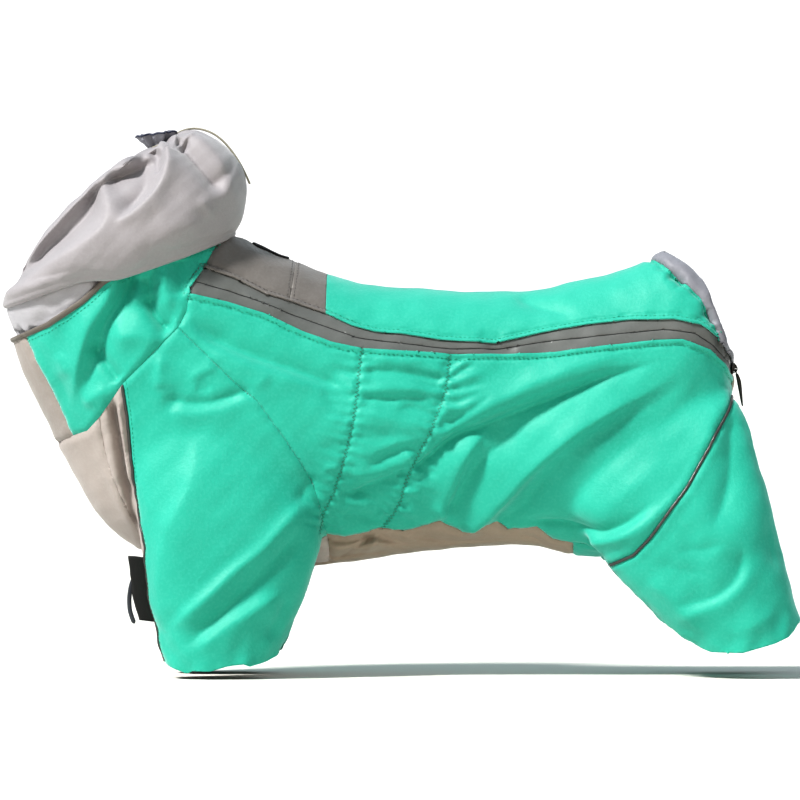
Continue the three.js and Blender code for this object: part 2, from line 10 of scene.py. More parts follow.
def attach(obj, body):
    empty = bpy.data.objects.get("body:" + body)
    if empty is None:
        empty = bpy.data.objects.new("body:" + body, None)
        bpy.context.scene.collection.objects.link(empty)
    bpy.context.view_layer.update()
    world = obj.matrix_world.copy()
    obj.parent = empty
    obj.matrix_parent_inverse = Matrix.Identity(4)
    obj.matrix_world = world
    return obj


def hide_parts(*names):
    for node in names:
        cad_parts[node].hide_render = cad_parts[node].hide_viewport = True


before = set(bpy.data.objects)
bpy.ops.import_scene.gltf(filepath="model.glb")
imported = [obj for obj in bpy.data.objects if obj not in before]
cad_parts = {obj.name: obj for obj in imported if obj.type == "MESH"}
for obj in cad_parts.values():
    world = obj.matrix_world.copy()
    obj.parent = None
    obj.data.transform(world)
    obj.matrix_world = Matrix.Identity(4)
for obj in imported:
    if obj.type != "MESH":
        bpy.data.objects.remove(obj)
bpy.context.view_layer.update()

# ---- camera ----
# It stands level with the garment's left flank, far off, so the outline keeps its true shape.
MM = 0.001
VIEW_MIDDLE = (-28.8, -79.2)     # x and z, mm
VIEW_WIDTH = 576                 # mm across the view, at the garment's middle
CAMERA_AWAY = 6.0                # m
CAMERA_RISE = 0.05               # m above the middle of the view
SENSOR = 36

camera_data = bpy.data.cameras.new("camera")
camera_data.sensor_width = SENSOR
camera_data.lens = SENSOR * CAMERA_AWAY / (VIEW_WIDTH * MM)
camera_data.clip_end = 100
camera = bpy.data.objects.new("camera", camera_data)
bpy.context.collection.objects.link(camera)
view_middle = Vector((VIEW_MIDDLE[0] * MM, 0, VIEW_MIDDLE[1] * MM))
camera.location = view_middle + Vector((0, -CAMERA_AWAY, CAMERA_RISE))
camera.rotation_euler = (view_middle - camera.location).to_track_quat("-Z", "Y").to_euler()
bpy.context.scene.camera = camera

# ---- drawcord ----
# A thin elastic cord in a round braid that closes the hood. It goes twice round the knot; its free end,
# cut and sealed at the tip, arches back over the hood's crown and hangs down behind it.
CORD_ACROSS = 1.6                # mm
DRAWCORD_ROUTE = [
    (-191.5, 3, 111.5), (-188, 5, 113.6), (-183, 6, 115.6), (-177, 7, 116.4), (-171, 7, 115.6),
    (-164.4, 7, 113.2), (-158.4, 7, 109.2), (-153, 7, 103.8), (-148.2, 7, 97.6), (-144, 7, 91),
    (-140.2, 7, 83.6), (-137, 7, 76.5),
]


def filled_in(rows, per_gap):
    """A table of numbers with smooth rows added between its own rows."""
    rows = np.array(rows, float)
    padded = np.vstack([2 * rows[0] - rows[1], rows, 2 * rows[-1] - rows[-2]])
    share = (np.arange(per_gap) / per_gap)[:, None]
    parts = []
    for i in range(1, len(rows)):
        a, b, c, d = padded[i - 1], padded[i], padded[i + 1], padded[i + 2]
        straight = 2 * b + (c - a) * share
        bent = (2 * a - 5 * b + 4 * c - d) * share ** 2 + (3 * b - a - 3 * c + d) * share ** 3
        parts.append(0.5 * (straight + bent))
    parts.append(rows[-1:])
    return np.vstack(parts)


def finished(material, *, base, rough, sheen=0.0, sheen_tint=(1, 1, 1), specular=0.4):
    """A new material with one Principled shader, its plain values set on the shader itself."""
    made = bpy.data.materials.new(material)
    made.use_nodes = True
    shader = made.node_tree.nodes["Principled BSDF"]
    shader.inputs["Base Color"].default_value = (*base, 1)
    shader.inputs["Roughness"].default_value = rough
    shader.inputs["Specular IOR Level"].default_value = specular
    shader.inputs["Sheen Weight"].default_value = sheen
    shader.inputs["Sheen Roughness"].default_value = 0.45
    shader.inputs["Sheen Tint"].default_value = (*sheen_tint, 1)
    return made


def new_group(name, inputs, outputs):
    """An empty node group with named sockets: (name, kind, start value) and (name, kind)."""
    group = bpy.data.node_groups.new(name, "ShaderNodeTree")
    for label, kind, start in inputs:
        socket = group.interface.new_socket(label, in_out="INPUT", socket_type=kind)
        socket.default_value = start
    for label, kind in outputs:
        group.interface.new_socket(label, in_out="OUTPUT", socket_type=kind)
    return group, group.nodes.new("NodeGroupInput"), group.nodes.new("NodeGroupOutput")


def braid_group():
    """Fine braid or ribbing: crossed waves that lighten the threads' crowns."""
    group, taken, given = new_group(
        "braid",
        [("Scale", "NodeSocketFloat", 900.0), ("Dark", "NodeSocketColor", (0.1, 0.1, 0.1, 1)),
         ("Light", "NodeSocketColor", (0.5, 0.5, 0.5, 1))],
        [("Color", "NodeSocketColor"), ("Height", "NodeSocketFloat")],
    )
    place = group.nodes.new("ShaderNodeTexCoord")
    waves = []
    for direction in ("X", "Z"):
        wave = group.nodes.new("ShaderNodeTexWave")
        wave.wave_type = "BANDS"
        wave.bands_direction = direction
        wave.inputs["Distortion"].default_value = 1.5
        wave.inputs["Detail"].default_value = 1.0
        group.links.new(place.outputs["Object"], wave.inputs["Vector"])
        group.links.new(taken.outputs["Scale"], wave.inputs["Scale"])
        waves.append(wave)
    crossed = group.nodes.new("ShaderNodeMath")
    crossed.operation = "MULTIPLY"
    group.links.new(waves[0].outputs["Fac"], crossed.inputs[0])
    group.links.new(waves[1].outputs["Fac"], crossed.inputs[1])
    tint = group.nodes.new("ShaderNodeMix")
    tint.data_type = "RGBA"
    group.links.new(crossed.outputs[0], tint.inputs["Factor"])
    group.links.new(taken.outputs["Dark"], tint.inputs["A"])
    group.links.new(taken.outputs["Light"], tint.inputs["B"])
    group.links.new(tint.outputs["Result"], given.inputs["Color"])
    group.links.new(crossed.outputs[0], given.inputs["Height"])
    return group


BRAID = braid_group()


def braided(material, *, dark, light, scale, rough, bump):
    """A braided or ribbed finish on the material's own shader."""
    made = finished(material, base=light, rough=rough, sheen=0.2)
    nodes, links = made.node_tree.nodes, made.node_tree.links
    braid = nodes.new("ShaderNodeGroup")
    braid.node_tree = BRAID
    braid.inputs["Scale"].default_value = scale
    braid.inputs["Dark"].default_value = (*dark, 1)
    braid.inputs["Light"].default_value = (*light, 1)
    raised = nodes.new("ShaderNodeBump")
    raised.inputs["Strength"].default_value = bump
    raised.inputs["Distance"].default_value = 0.0003
    shader = nodes["Principled BSDF"]
    links.new(braid.outputs["Color"], shader.inputs["Base Color"])
    links.new(braid.outputs["Height"], raised.inputs["Height"])
    links.new(raised.outputs["Normal"], shader.inputs["Normal"])
    return made


def riding(piece, slot, *nodes):
    """Puts a piece on the garment's body and hides the plain nodes it stands for; its slot is not used."""
    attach(piece, "garment")
    if nodes:
        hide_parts(*nodes)


def cord_curve(name, points, across):
    """A round cord along smooth points given in mm."""
    shape = bpy.data.curves.new(name, "CURVE")
    shape.dimensions = "3D"
    shape.bevel_depth = across / 2 * MM
    shape.bevel_resolution = 3
    shape.use_fill_caps = True
    line = shape.splines.new("POLY")
    line.points.add(len(points) - 1)
    for spot, point in zip(line.points, points):
        spot.co = (*(np.array(point) * MM), 1)
    made = bpy.data.objects.new(name, shape)
    bpy.context.collection.objects.link(made)
    return made


cord_points = filled_in(DRAWCORD_ROUTE, 3)
drawcord = cord_curve("drawcord_end", cord_points, CORD_ACROSS)
CORD_BRAID = braided("drawcord_braid", dark=(0.27, 0.25, 0.20), light=(0.58, 0.55, 0.47), scale=420,
                     rough=0.75, bump=0.5)
drawcord.data.materials.append(CORD_BRAID)
riding(drawcord, "drawcord", "drawcord")

# ---- the garment's cut: one worn form, scored along every seam ----
# Softshell bonded to a thin fleece, about 1.4 mm in all. Sewn up, the panels hold this hollow shape:
# a body tube tilted at the neck, and four legs. Every seam line below is in side view, [x, z] in mm.
BODY_SECTIONS = [                # top x, top z, bottom x, bottom z, half the width
    (-160, 44, -311, -12, 47), (-144, 38, -305, -46, 50), (-129, 31, -290, -80, 54),
    (-108, 22, -269, -122, 57), (-85, 13, -241, -168, 61), (-62, 6, -200, -194, 63),
    (-43, 3, -146, -202, 63), (-26, 2, -90, -199, 62), (-8, 1, -50, -194, 60),
    (18, -1, -6, -188, 58), (64, 0, 58, -184, 57), (106, 8, 106, -192, 58),
    (132, 15, 138, -188, 57), (153, 23, 164, -170, 55), (174, 30, 184, -150, 51),
    (200, 12, 201, -124, 42), (206, -20, 208, -100, 30), (208.5, -44, 210, -82, 14),
]
FRONT_LEG = [                    # front x, front z, rear x, rear z, middle y, half the width
    (-210, -70, -90, -76, 30, 20), (-214, -86, -86, -92, 34, 24), (-220, -125, -82, -140, 41, 28),
    (-217, -163, -84, -176, 45, 31), (-210, -207, -94, -210, 47, 31),
    (-204, -240, -106, -240, 47, 31), (-199, -262, -115, -262, 47, 31),
    (-194, -286, -121, -284, 47, 31),
]
HIND_LEG = [
    (86, -116, 203, -66, 32, 20), (95, -158, 219.5, -90, 38, 26), (117, -194, 228, -122, 43, 29),
    (142, -221, 238, -158, 46, 30), (164, -242, 248, -202, 47, 29), (181, -256, 257.6, -240, 47, 28),
    (192, -272, 264, -262, 47, 28),
]
CLOTH_THICK = 1.4                # mm
BODY_AROUND = 120                # points round the body, and round a leg
LEG_AROUND = 56
ROWS_BETWEEN = 5                 # smooth rows from one row of a table to the next
GRAIN_SIZE = 1.7                 # mm, the mesh of the finished cloth
ROOT_SOFTENING = 26              # how much a leg's root flows into the body
COLLAR_TOP = [
    (-340, -50), (-300, -33), (-279, -24), (-255, -8), (-240, 6), (-215, 16), (-163, 34), (-120, 52),
]
NECK_SEAM = [
    (-140, 50), (-160, 33), (-170, 14), (-179, 1), (-181, -15), (-187, -27), (-202, -42),
    (-226, -66), (-243, -90), (-253, -101), (-262, -104), (-275, -110), (-292, -114),
]
COLLAR_FRONT = [(-262, -108), (-267, -98), (-277, -77), (-289, -52), (-303, -24)]
YOKE_STITCH = [(-103, 44), (-104, 17), (-108, -10)]
YOKE_STITCH_RIGHT = [(-103, 44), (-104, 17), (-109, -20)]
YOKE_END = [(-81, 44), (-81, 11), (-82, -19)]
YOKE_END_RIGHT = [(-81, 44), (-81, 11), (-83, -30)]
ZIP_UPPER = [
    (-179, 21), (-169, 16), (-147, 8), (-126, -3), (-106, -9), (-82, -17), (-63, -26), (-47, -30),
    (-29, -31.5), (1, -36), (39, -38.2), (74, -30.5), (104, -25), (135, -21.6), (167, -21),
    (186, -25), (199, -34), (208, -46), (214, -60),
]
ZIP_CENTRE = [
    (-182, 8), (-150, -1), (-108, -17), (-60, -34), (-29, -38), (6, -42), (42, -42), (74, -37),
    (111, -33), (160, -28), (182, -31), (196, -40), (207, -51), (213, -64),
]
ZIP_LOWER = [
    (-186, -4), (-178, -3), (-152, -9), (-126, -17), (-99, -29.5), (-78, -37.5), (-57, -41.8),
    (-29, -44), (6, -45.7), (45, -46.4), (82, -45), (118, -40.3), (154, -36), (173, -35.3),
    (193, -43), (204, -53), (212, -68),
]
SHOULDER_SEAM = [
    (-190, -20), (-187, -27), (-148, -65), (-130, -80), (-111, -106), (-99, -124), (-90, -140),
    (-84, -160), (-80, -180), (-78, -215),
]
SIDE_HEM = [
    (-86, -175), (-68, -177), (-44, -171), (-24, -173), (0, -166), (16, -174), (41, -166),
    (49, -173), (69, -171), (81, -180), (96.5, -182),
]
BELLY_END = [(95, -179.8), (95.4, -185), (98, -215)]
CHEST_SEAM = [
    (-246, -80), (-244, -92), (-242, -107), (-236, -133), (-229, -149), (-220, -166), (-214, -182),
    (-210, -215),
]
FRONT_PIPING = [
    (-228, -60), (-226.5, -75), (-223.5, -92), (-221, -120), (-218, -145), (-214.5, -168),
    (-211, -184), (-214, -196), (-226, -204),
]
HIND_PIPING_REAR = [(224, -56), (211, -73), (206, -86), (199, -98), (189, -117)]
HIND_PIPING_SIDE = [
    (193, -110), (189, -117), (176, -140), (163, -158), (150, -176), (138, -189), (121, -197),
    (106, -205),
]
TAIL_EDGE = [
    (136, 60), (152, 28), (163, 27), (172, 22), (182, 15), (188, 8), (193, -4), (199, -18),
    (203, -30), (207, -44), (214, -54), (226, -58),
]
TAIL_BINDING_EDGE = [
    (130, 46), (149, 23), (157, 20), (166, 13.5), (177, 4), (186, -5), (192, -15), (197, -27),
    (203, -42), (210, -56),
]
FRONT_HEM = [
    (-230, -236), (-204, -260.3), (-196.8, -266.5), (-187, -271), (-181.2, -273.6), (-177, -271.6),
    (-163.8, -271.8), (-152, -268.2), (-145.6, -267.2), (-140, -266.4), (-135.6, -268.2), (-122.4, -265),
    (-116, -260.5), (-110, -252), (-92, -232),
]
HIND_HEM = [
    (150, -232), (168, -243), (181.4, -253.5), (193, -258.4), (215, -258.6), (238, -252),
    (248, -247.4), (252.5, -243), (255, -238), (257, -235.5), (266, -233),
]
FAR = 200                        # further out than any cloth
STRIP_HALF = 12                  # half the belly strip between the front legs
PIPING_INNER = 20                # the piping seams stay this far out from the middle


def oval_rings(rows, segments, per_gap):
    """Smooth oval rings: each row gives two opposite points in side view and the half width."""
    rings = []
    angle = 2 * math.pi * np.arange(segments) / segments
    for row in filled_in(rows, per_gap):
        middle, half = (0.0, row[4]) if len(row) == 5 else (row[4], row[5])
        x = (row[0] + row[2]) / 2 + (row[0] - row[2]) / 2 * np.cos(angle)
        z = (row[1] + row[3]) / 2 + (row[1] - row[3]) / 2 * np.cos(angle)
        rings.append(np.stack([x, -(middle + half * np.sin(angle)), z], axis=1))
    return rings


def mesh_of(name, points, faces):
    """A mesh object from points in mm and lists of faces."""
    shape = bpy.data.meshes.new(name)
    shape.from_pydata((np.asarray(points) * MM).tolist(), [], [list(map(int, f)) for f in faces])
    shape.update()
    made = bpy.data.objects.new(name, shape)
    bpy.context.collection.objects.link(made)
    return made


def ring_grid(rings):
    """Points and quads of an open tube through rings of equal count."""
    count = len(rings[0])
    across = np.arange(len(rings) - 1)[:, None] * count
    around = np.arange(count)[None, :]
    after = (around + 1) % count
    quads = np.stack([across + around, across + after, across + count + after, across + count + around],
                     axis=-1).reshape(-1, 4)
    return np.vstack(rings), quads


def closed_tube(rings):
    """Points and faces of a tube through rings, with both ends closed."""
    points, quads = ring_grid(rings)
    around, total = len(rings[0]), len(points)
    ends = [tuple(range(around))[::-1], tuple(range(total - around, total))]
    return points, [tuple(q) for q in quads.tolist()] + ends


def mirrored(points, faces):
    """The same shape for the other side of the garment."""
    return points * (1, -1, 1), [tuple(reversed(face)) for face in faces]


body_shape = closed_tube(oval_rings(BODY_SECTIONS, BODY_AROUND, ROWS_BETWEEN))
front_shape = closed_tube(oval_rings(FRONT_LEG, LEG_AROUND, ROWS_BETWEEN))
hind_shape = closed_tube(oval_rings(HIND_LEG, LEG_AROUND, ROWS_BETWEEN))
all_points = []
all_faces = []
for points, faces in [body_shape, front_shape, mirrored(*front_shape), hind_shape,
                      mirrored(*hind_shape)]:
    start = sum(len(p) for p in all_points)
    all_points.append(points)
    all_faces += [tuple(i + start for i in face) for face in faces]
worn_form = mesh_of("worn_form", np.vstack(all_points), all_faces)
bpy.context.view_layer.objects.active = worn_form
worn_form.select_set(True)
bpy.ops.object.mode_set(mode="EDIT")
bpy.ops.mesh.select_all(action="SELECT")
bpy.ops.mesh.normals_make_consistent(inside=False)
bpy.ops.object.mode_set(mode="OBJECT")
remesh = worn_form.modifiers.new("one_skin", "REMESH")
remesh.mode = "VOXEL"
remesh.voxel_size = GRAIN_SIZE * MM
skin = worn_form.evaluated_get(bpy.context.evaluated_depsgraph_get()).to_mesh()
skin.calc_loop_triangles()
cloth_points = np.zeros(len(skin.vertices) * 3)
skin.vertices.foreach_get("co", cloth_points)
cloth_points = cloth_points.reshape(-1, 3) / MM
cloth_faces = np.zeros(len(skin.loop_triangles) * 3, dtype=np.int64)
skin.loop_triangles.foreach_get("vertices", cloth_faces)
cloth_faces = cloth_faces.reshape(-1, 3)
bpy.data.objects.remove(worn_form)


def edges_of(faces):
    """Each edge once, and for every triangle the numbers of its three edges."""
    sides = np.sort(faces[:, [0, 1, 1, 2, 2, 0]].reshape(-1, 2), axis=1)
    keys = sides[:, 0] * (faces.max() + 1) + sides[:, 1]
    _, first, back = np.unique(keys, return_index=True, return_inverse=True)
    return sides[first], back.reshape(-1, 3)


def softened(points, edges, rounds, amount):
    """Every point moved towards the middle of its neighbours, by its own amount from 0 to 1."""
    ends = np.concatenate([edges[:, 0], edges[:, 1]])
    others = np.concatenate([edges[:, 1], edges[:, 0]])
    count = np.bincount(ends, minlength=len(points))[:, None]
    for _ in range(rounds):
        total = np.stack([
            np.bincount(ends, weights=points[others, k], minlength=len(points)) for k in range(3)
        ], axis=1)
        points = points + (total / count - points) * amount
    return points


def eased(value, low, high):
    """0 below low, 1 above high, and smooth between."""
    share = np.clip((value - low) / (high - low), 0, 1)
    return share * share * (3 - 2 * share)


cloth_edges, _ = edges_of(cloth_faces)
x, y, z = cloth_points.T
front_root = eased(z, -205, -165) * eased(-z, 40, 90) * eased(-x, 70, 85) * eased(x, -250, -225)
hind_root = eased(z, -215, -180) * eased(-z, 40, 90) * eased(x, 70, 95)
crotch = np.exp(-(y / 26) ** 2) * eased(-z, 150, 180)
root = np.clip(np.maximum(front_root, hind_root) + crotch, 0, 1)[:, None]
cloth_points = softened(cloth_points, cloth_edges, 4, 0.5)
cloth_points = softened(cloth_points, cloth_edges, ROOT_SOFTENING, 0.6 * root)


def crossings_of_line(line, low_y, high_y):
    """A finder: where the steps from p to q cross a side-view line between two y values."""
    def find(p, q):
        share = np.full(len(p), np.nan)
        y_middle = (p[:, 1] + q[:, 1]) / 2
        p2, q2 = p[:, [0, 2]], q[:, [0, 2]]
        low, high = np.minimum(p2, q2), np.maximum(p2, q2)
        for a, b in zip(line[:-1], line[1:]):
            a, b = np.array(a, float), np.array(b, float)
            near = np.flatnonzero(
                (low[:, 0] <= max(a[0], b[0])) & (high[:, 0] >= min(a[0], b[0]))
                & (low[:, 1] <= max(a[1], b[1])) & (high[:, 1] >= min(a[1], b[1]))
                & (y_middle > low_y) & (y_middle < high_y)
            )
            if not len(near):
                continue
            along, step = b - a, q2[near] - p2[near]
            from_a = p2[near] - a
            side_p = along[0] * from_a[:, 1] - along[1] * from_a[:, 0]
            to_q = q2[near] - a
            side_q = along[0] * to_q[:, 1] - along[1] * to_q[:, 0]
            side_a = step[:, 0] * -from_a[:, 1] + step[:, 1] * from_a[:, 0]
            to_b = b - p2[near]
            side_b = step[:, 0] * to_b[:, 1] - step[:, 1] * to_b[:, 0]
            hit = (side_p * side_q < 0) & (side_a * side_b <= 0)
            share[near[hit]] = side_p[hit] / (side_p[hit] - side_q[hit])
        return share
    return find


def inside(outline, x, z):
    """Which points lie inside a side-view outline."""
    found = np.zeros(len(x), bool)
    for (x1, z1), (x2, z2) in zip(outline, outline[1:] + outline[:1]):
        if z1 == z2:
            continue
        spans = (z1 > z) != (z2 > z)
        found ^= spans & (x < (x2 - x1) * (z - z1) / (z2 - z1) + x1)
    return found


def crossings_of_plane(outline, at_y, side=1, lean=(0, 0)):
    """A finder: where the steps from p to q cross a leaning plane, within a side-view outline."""
    def find(p, q):
        from_plane = side * p[:, 1] - at_y - lean[0] * p[:, 0] - lean[1] * p[:, 2]
        to_plane = side * q[:, 1] - at_y - lean[0] * q[:, 0] - lean[1] * q[:, 2]
        crossed = from_plane * to_plane < 0
        with np.errstate(divide="ignore", invalid="ignore"):
            share = from_plane / (from_plane - to_plane)
        middle = (p + q) / 2
        crossed &= inside(outline, middle[:, 0], middle[:, 2])
        return np.where(crossed, share, np.nan)
    return find


def scored(points, faces, find):
    """The same cloth with its triangles split where the finder says."""
    edges, sides = edges_of(faces)
    share = find(points[edges[:, 0]], points[edges[:, 1]])
    cut = ~np.isnan(share)
    new_number = np.full(len(edges), -1)
    new_number[cut] = len(points) + np.arange(cut.sum())
    share = share[cut][:, None]
    added = points[edges[cut, 0]] * (1 - share) + points[edges[cut, 1]] * share
    count = cut[sides].sum(axis=1)
    kept = [faces[count == 0]]
    for turn in range(3):
        order = [(turn + k) % 3 for k in range(3)]
        a, b, c = (faces[:, k] for k in order)
        ab, ca = new_number[sides[:, order[0]]], new_number[sides[:, order[2]]]
        two = (count >= 2) & (ab >= 0) & (ca >= 0) & ((count == 2) | (turn == 0))
        kept += [
            np.stack([a, ab, ca], 1)[two], np.stack([ab, b, c], 1)[two],
            np.stack([ab, c, ca], 1)[two],
        ]
        one = (count == 1) & (ab >= 0)
        kept += [np.stack([a, ab, c], 1)[one], np.stack([ab, b, c], 1)[one]]
    return np.vstack([points, added]), np.vstack(kept)


FRONT_LEG_SPLIT = [
    (-250, -320), (-70, -320), (-70, -178), (-80, -176), (-88, -150), (-215, -150), (-213, -166),
    (-208.5, -182), (-250, -184),
]
hind_split_edge = [(a - 1.5, b + 1.5) for a, b in HIND_PIPING_REAR + HIND_PIPING_SIDE[1:]]
HIND_LEG_SPLIT = hind_split_edge + [(60, -320), (320, -320), (320, -40)]
STRIP_SPLIT = [(-222, -230), (-78, -230), (-78, -150), (-222, -150)]
GROIN_SPLIT = [
    (94, -210), (94, -165), (172, -165), (163, -160), (150, -178), (138, -190.5), (121, -198.5),
    (106, -206.5),
]
GROIN_HALF = 24                  # how far from the middle the hind piping's seams stop
SEAM_OVERLAP = 0.6               # so that they meet the seams along the groin
FRONT_LEG_PLANE = (30.4, (-0.108, 0))      # how far out a leg is split, and its lean along x and z
HIND_LEG_PLANE = (18, (-0.06, -0.17))
SEAT_SPLIT = [(97, -230), (240, -230), (240, -38), (97, -38)]
SEAT_PLANE = 0.013               # a hair off the middle, so that no point lies on it
CORNER = [(-218, -150), (-190, -150)]      # from the front piping to the top of the leg's split
CORNER_OUT = 56
seams = {
    "neck": [crossings_of_line(NECK_SEAM, -FAR, FAR)],
    "tail": [crossings_of_line(TAIL_BINDING_EDGE, -FAR, FAR)],
    "chest": [crossings_of_line(CHEST_SEAM, -FAR, FAR)],
    "belly_end": [crossings_of_line(BELLY_END, -FAR, FAR)],
    "collar_front": [crossings_of_line(COLLAR_FRONT, -FAR, -STRIP_HALF),
                     crossings_of_line(COLLAR_FRONT, STRIP_HALF, FAR)],
    "shoulder": [crossings_of_line(SHOULDER_SEAM, -FAR, -STRIP_HALF),
                 crossings_of_line(SHOULDER_SEAM, STRIP_HALF, FAR)],
    "side_hem": [crossings_of_line(SIDE_HEM, -FAR, FAR)],
    "front_piping": [crossings_of_line(FRONT_PIPING, -FAR, -PIPING_INNER),
                     crossings_of_line(FRONT_PIPING, PIPING_INNER, FAR)],
    "hind_piping": [crossings_of_line(HIND_PIPING_REAR, -FAR, FAR),
                    crossings_of_line(HIND_PIPING_SIDE, -FAR, SEAM_OVERLAP - GROIN_HALF),
                    crossings_of_line(HIND_PIPING_SIDE, GROIN_HALF - SEAM_OVERLAP, FAR)],
    "zip": [crossings_of_line(ZIP_UPPER, -FAR, 0), crossings_of_line(ZIP_CENTRE, -FAR, FAR),
            crossings_of_line(ZIP_LOWER, -FAR, 0)],
    "yoke": [crossings_of_line(YOKE_STITCH, -FAR, 0), crossings_of_line(YOKE_END, -FAR, 0),
             crossings_of_line(YOKE_STITCH_RIGHT, 0, FAR), crossings_of_line(YOKE_END_RIGHT, 0, FAR)],
    "seat": [crossings_of_plane(SEAT_SPLIT, SEAT_PLANE)],
    "leg": [crossings_of_plane(outline, at_y, side, lean) for side in (-1, 1) for outline, (at_y, lean) in
            [(FRONT_LEG_SPLIT, FRONT_LEG_PLANE), (HIND_LEG_SPLIT, HIND_LEG_PLANE)]]
    + [crossings_of_plane(STRIP_SPLIT, STRIP_HALF, side) for side in (-1, 1)]
    + [crossings_of_plane(GROIN_SPLIT, GROIN_HALF, side) for side in (-1, 1)]
    + [crossings_of_line(CORNER, -CORNER_OUT, -PIPING_INNER),
       crossings_of_line(CORNER, PIPING_INNER, CORNER_OUT)],
    "open": [crossings_of_line(COLLAR_TOP, -FAR, FAR), crossings_of_line(TAIL_EDGE, -FAR, FAR),
             crossings_of_line(FRONT_HEM, -FAR, FAR), crossings_of_line(HIND_HEM, -FAR, FAR)],
}
for finders in seams.values():
    for find in finders:
        cloth_points, cloth_faces = scored(cloth_points, cloth_faces, find)


def parted(points, faces):
    """A number for each triangle, the same over cloth that no seam line divides."""
    edges, sides = edges_of(faces)
    order = np.argsort(sides.ravel(), kind="stable")
    number = sides.ravel()[order]
    same = np.flatnonzero(number[:-1] == number[1:])
    one, two = order[same] // 3, order[same + 1] // 3
    middles = points[faces].mean(axis=1)
    free = np.ones(len(one), bool)
    for finders in seams.values():
        for find in finders:
            free &= np.isnan(find(middles[one], middles[two]))
    group = np.arange(len(faces))
    joined_one, joined_two = one[free], two[free]
    while True:
        lowest = np.minimum(group[joined_one], group[joined_two])
        before = group.copy()
        np.minimum.at(group, joined_one, lowest)
        np.minimum.at(group, joined_two, lowest)
        group = group[group]
        if (group == before).all():
            return group, middles, one, two


panel_number, middles, beside_one, beside_two = parted(cloth_points, cloth_faces)
PANEL_SEEDS = {                  # a point on each panel: x, y, z in mm
    "throat_panel": (-298, 0, -55), "chest_panel": (-262, 0, -130), "yoke_front": (-122, 0, 24),
    "yoke_rear": (-92, 0, 15), "back_panel": (20, 0, -2), "belly_panel": (-18, 0, -190),
    "tail_binding": (157, 0, 24), "zip_tape_upper": (1, -50, -39), "zip_tape_lower": (1, -50, -44),
    "waste_neck": (-235, 0, 16), "waste_tail": (195, 0, 18),
}
for word, side in (("left", -1), ("right", 1)):
    PANEL_SEEDS.update({
        "collar_" + word: (-223, side * 44, -29), "shoulder_" + word: (-173, side * 68, -115),
        "side_" + word: (-14, side * 60, -115), "chest_side_" + word: (-232, side * 48, -110),
        "hind_leg_outer_" + word: (205, side * 74, -190),
        "hind_leg_inner_" + word: (205, side * 20, -190),
        "waste_front_outer_" + word: (-158, side * 76, -281),
        "waste_front_inner_" + word: (-158, side * 18, -281),
        "waste_hind_outer_" + word: (229, side * 74, -264),
        "waste_hind_inner_" + word: (229, side * 20, -264),
    })
seed_names = list(PANEL_SEEDS)
panel_of = np.full(len(cloth_faces), -1)
for number, seed in enumerate(PANEL_SEEDS.values()):
    nearest = np.argmin(((middles - seed) ** 2).sum(axis=1))
    taken = panel_number == panel_number[nearest]
    panel_of[taken] = number
seat = panel_of == seed_names.index("hind_leg_inner_right")
panel_of[seat & (middles[:, 1] < SEAT_PLANE)] = seed_names.index("hind_leg_inner_left")
SLIVER_ROUNDS = 60
for _ in range(SLIVER_ROUNDS):   # a sliver beside a seam joins the panel it touches
    loose = np.flatnonzero((panel_of[beside_one] < 0) & (panel_of[beside_two] >= 0))
    panel_of[beside_one[loose]] = panel_of[beside_two[loose]]
    loose = np.flatnonzero((panel_of[beside_two] < 0) & (panel_of[beside_one] >= 0))
    panel_of[beside_two[loose]] = panel_of[beside_one[loose]]


# ---- folds, gathers and seams pressed into the cloth ----
# The panels are cut fuller than the form and drawn in by two zigzag elastic lines at the waist, so the
# cloth stands in pleats there and falls in long soft folds over the flank, shoulder and legs.
ELASTIC_FRONT = [
    (-55.4, -40), (-57.6, -54.7), (-59.8, -77.8), (-62, -92.9), (-65.2, -108.7), (-69.8, -125.3),
    (-74.2, -139.3), (-76.3, -145.8), (-82.8, -158.4), (-86.4, -175),
]
ELASTIC_REAR = [
    (6.8, -44), (5.5, -58.3), (4.3, -69.8), (1.4, -79.9), (-2.9, -90.5), (-6.7, -100.8),
    (-11.8, -110.9), (-19.5, -125.3), (-24.7, -138.1), (-28.1, -149.8), (-35, -162.5), (-43, -172),
]
FOLD_STRENGTH = 1.45             # on every depth in the table below
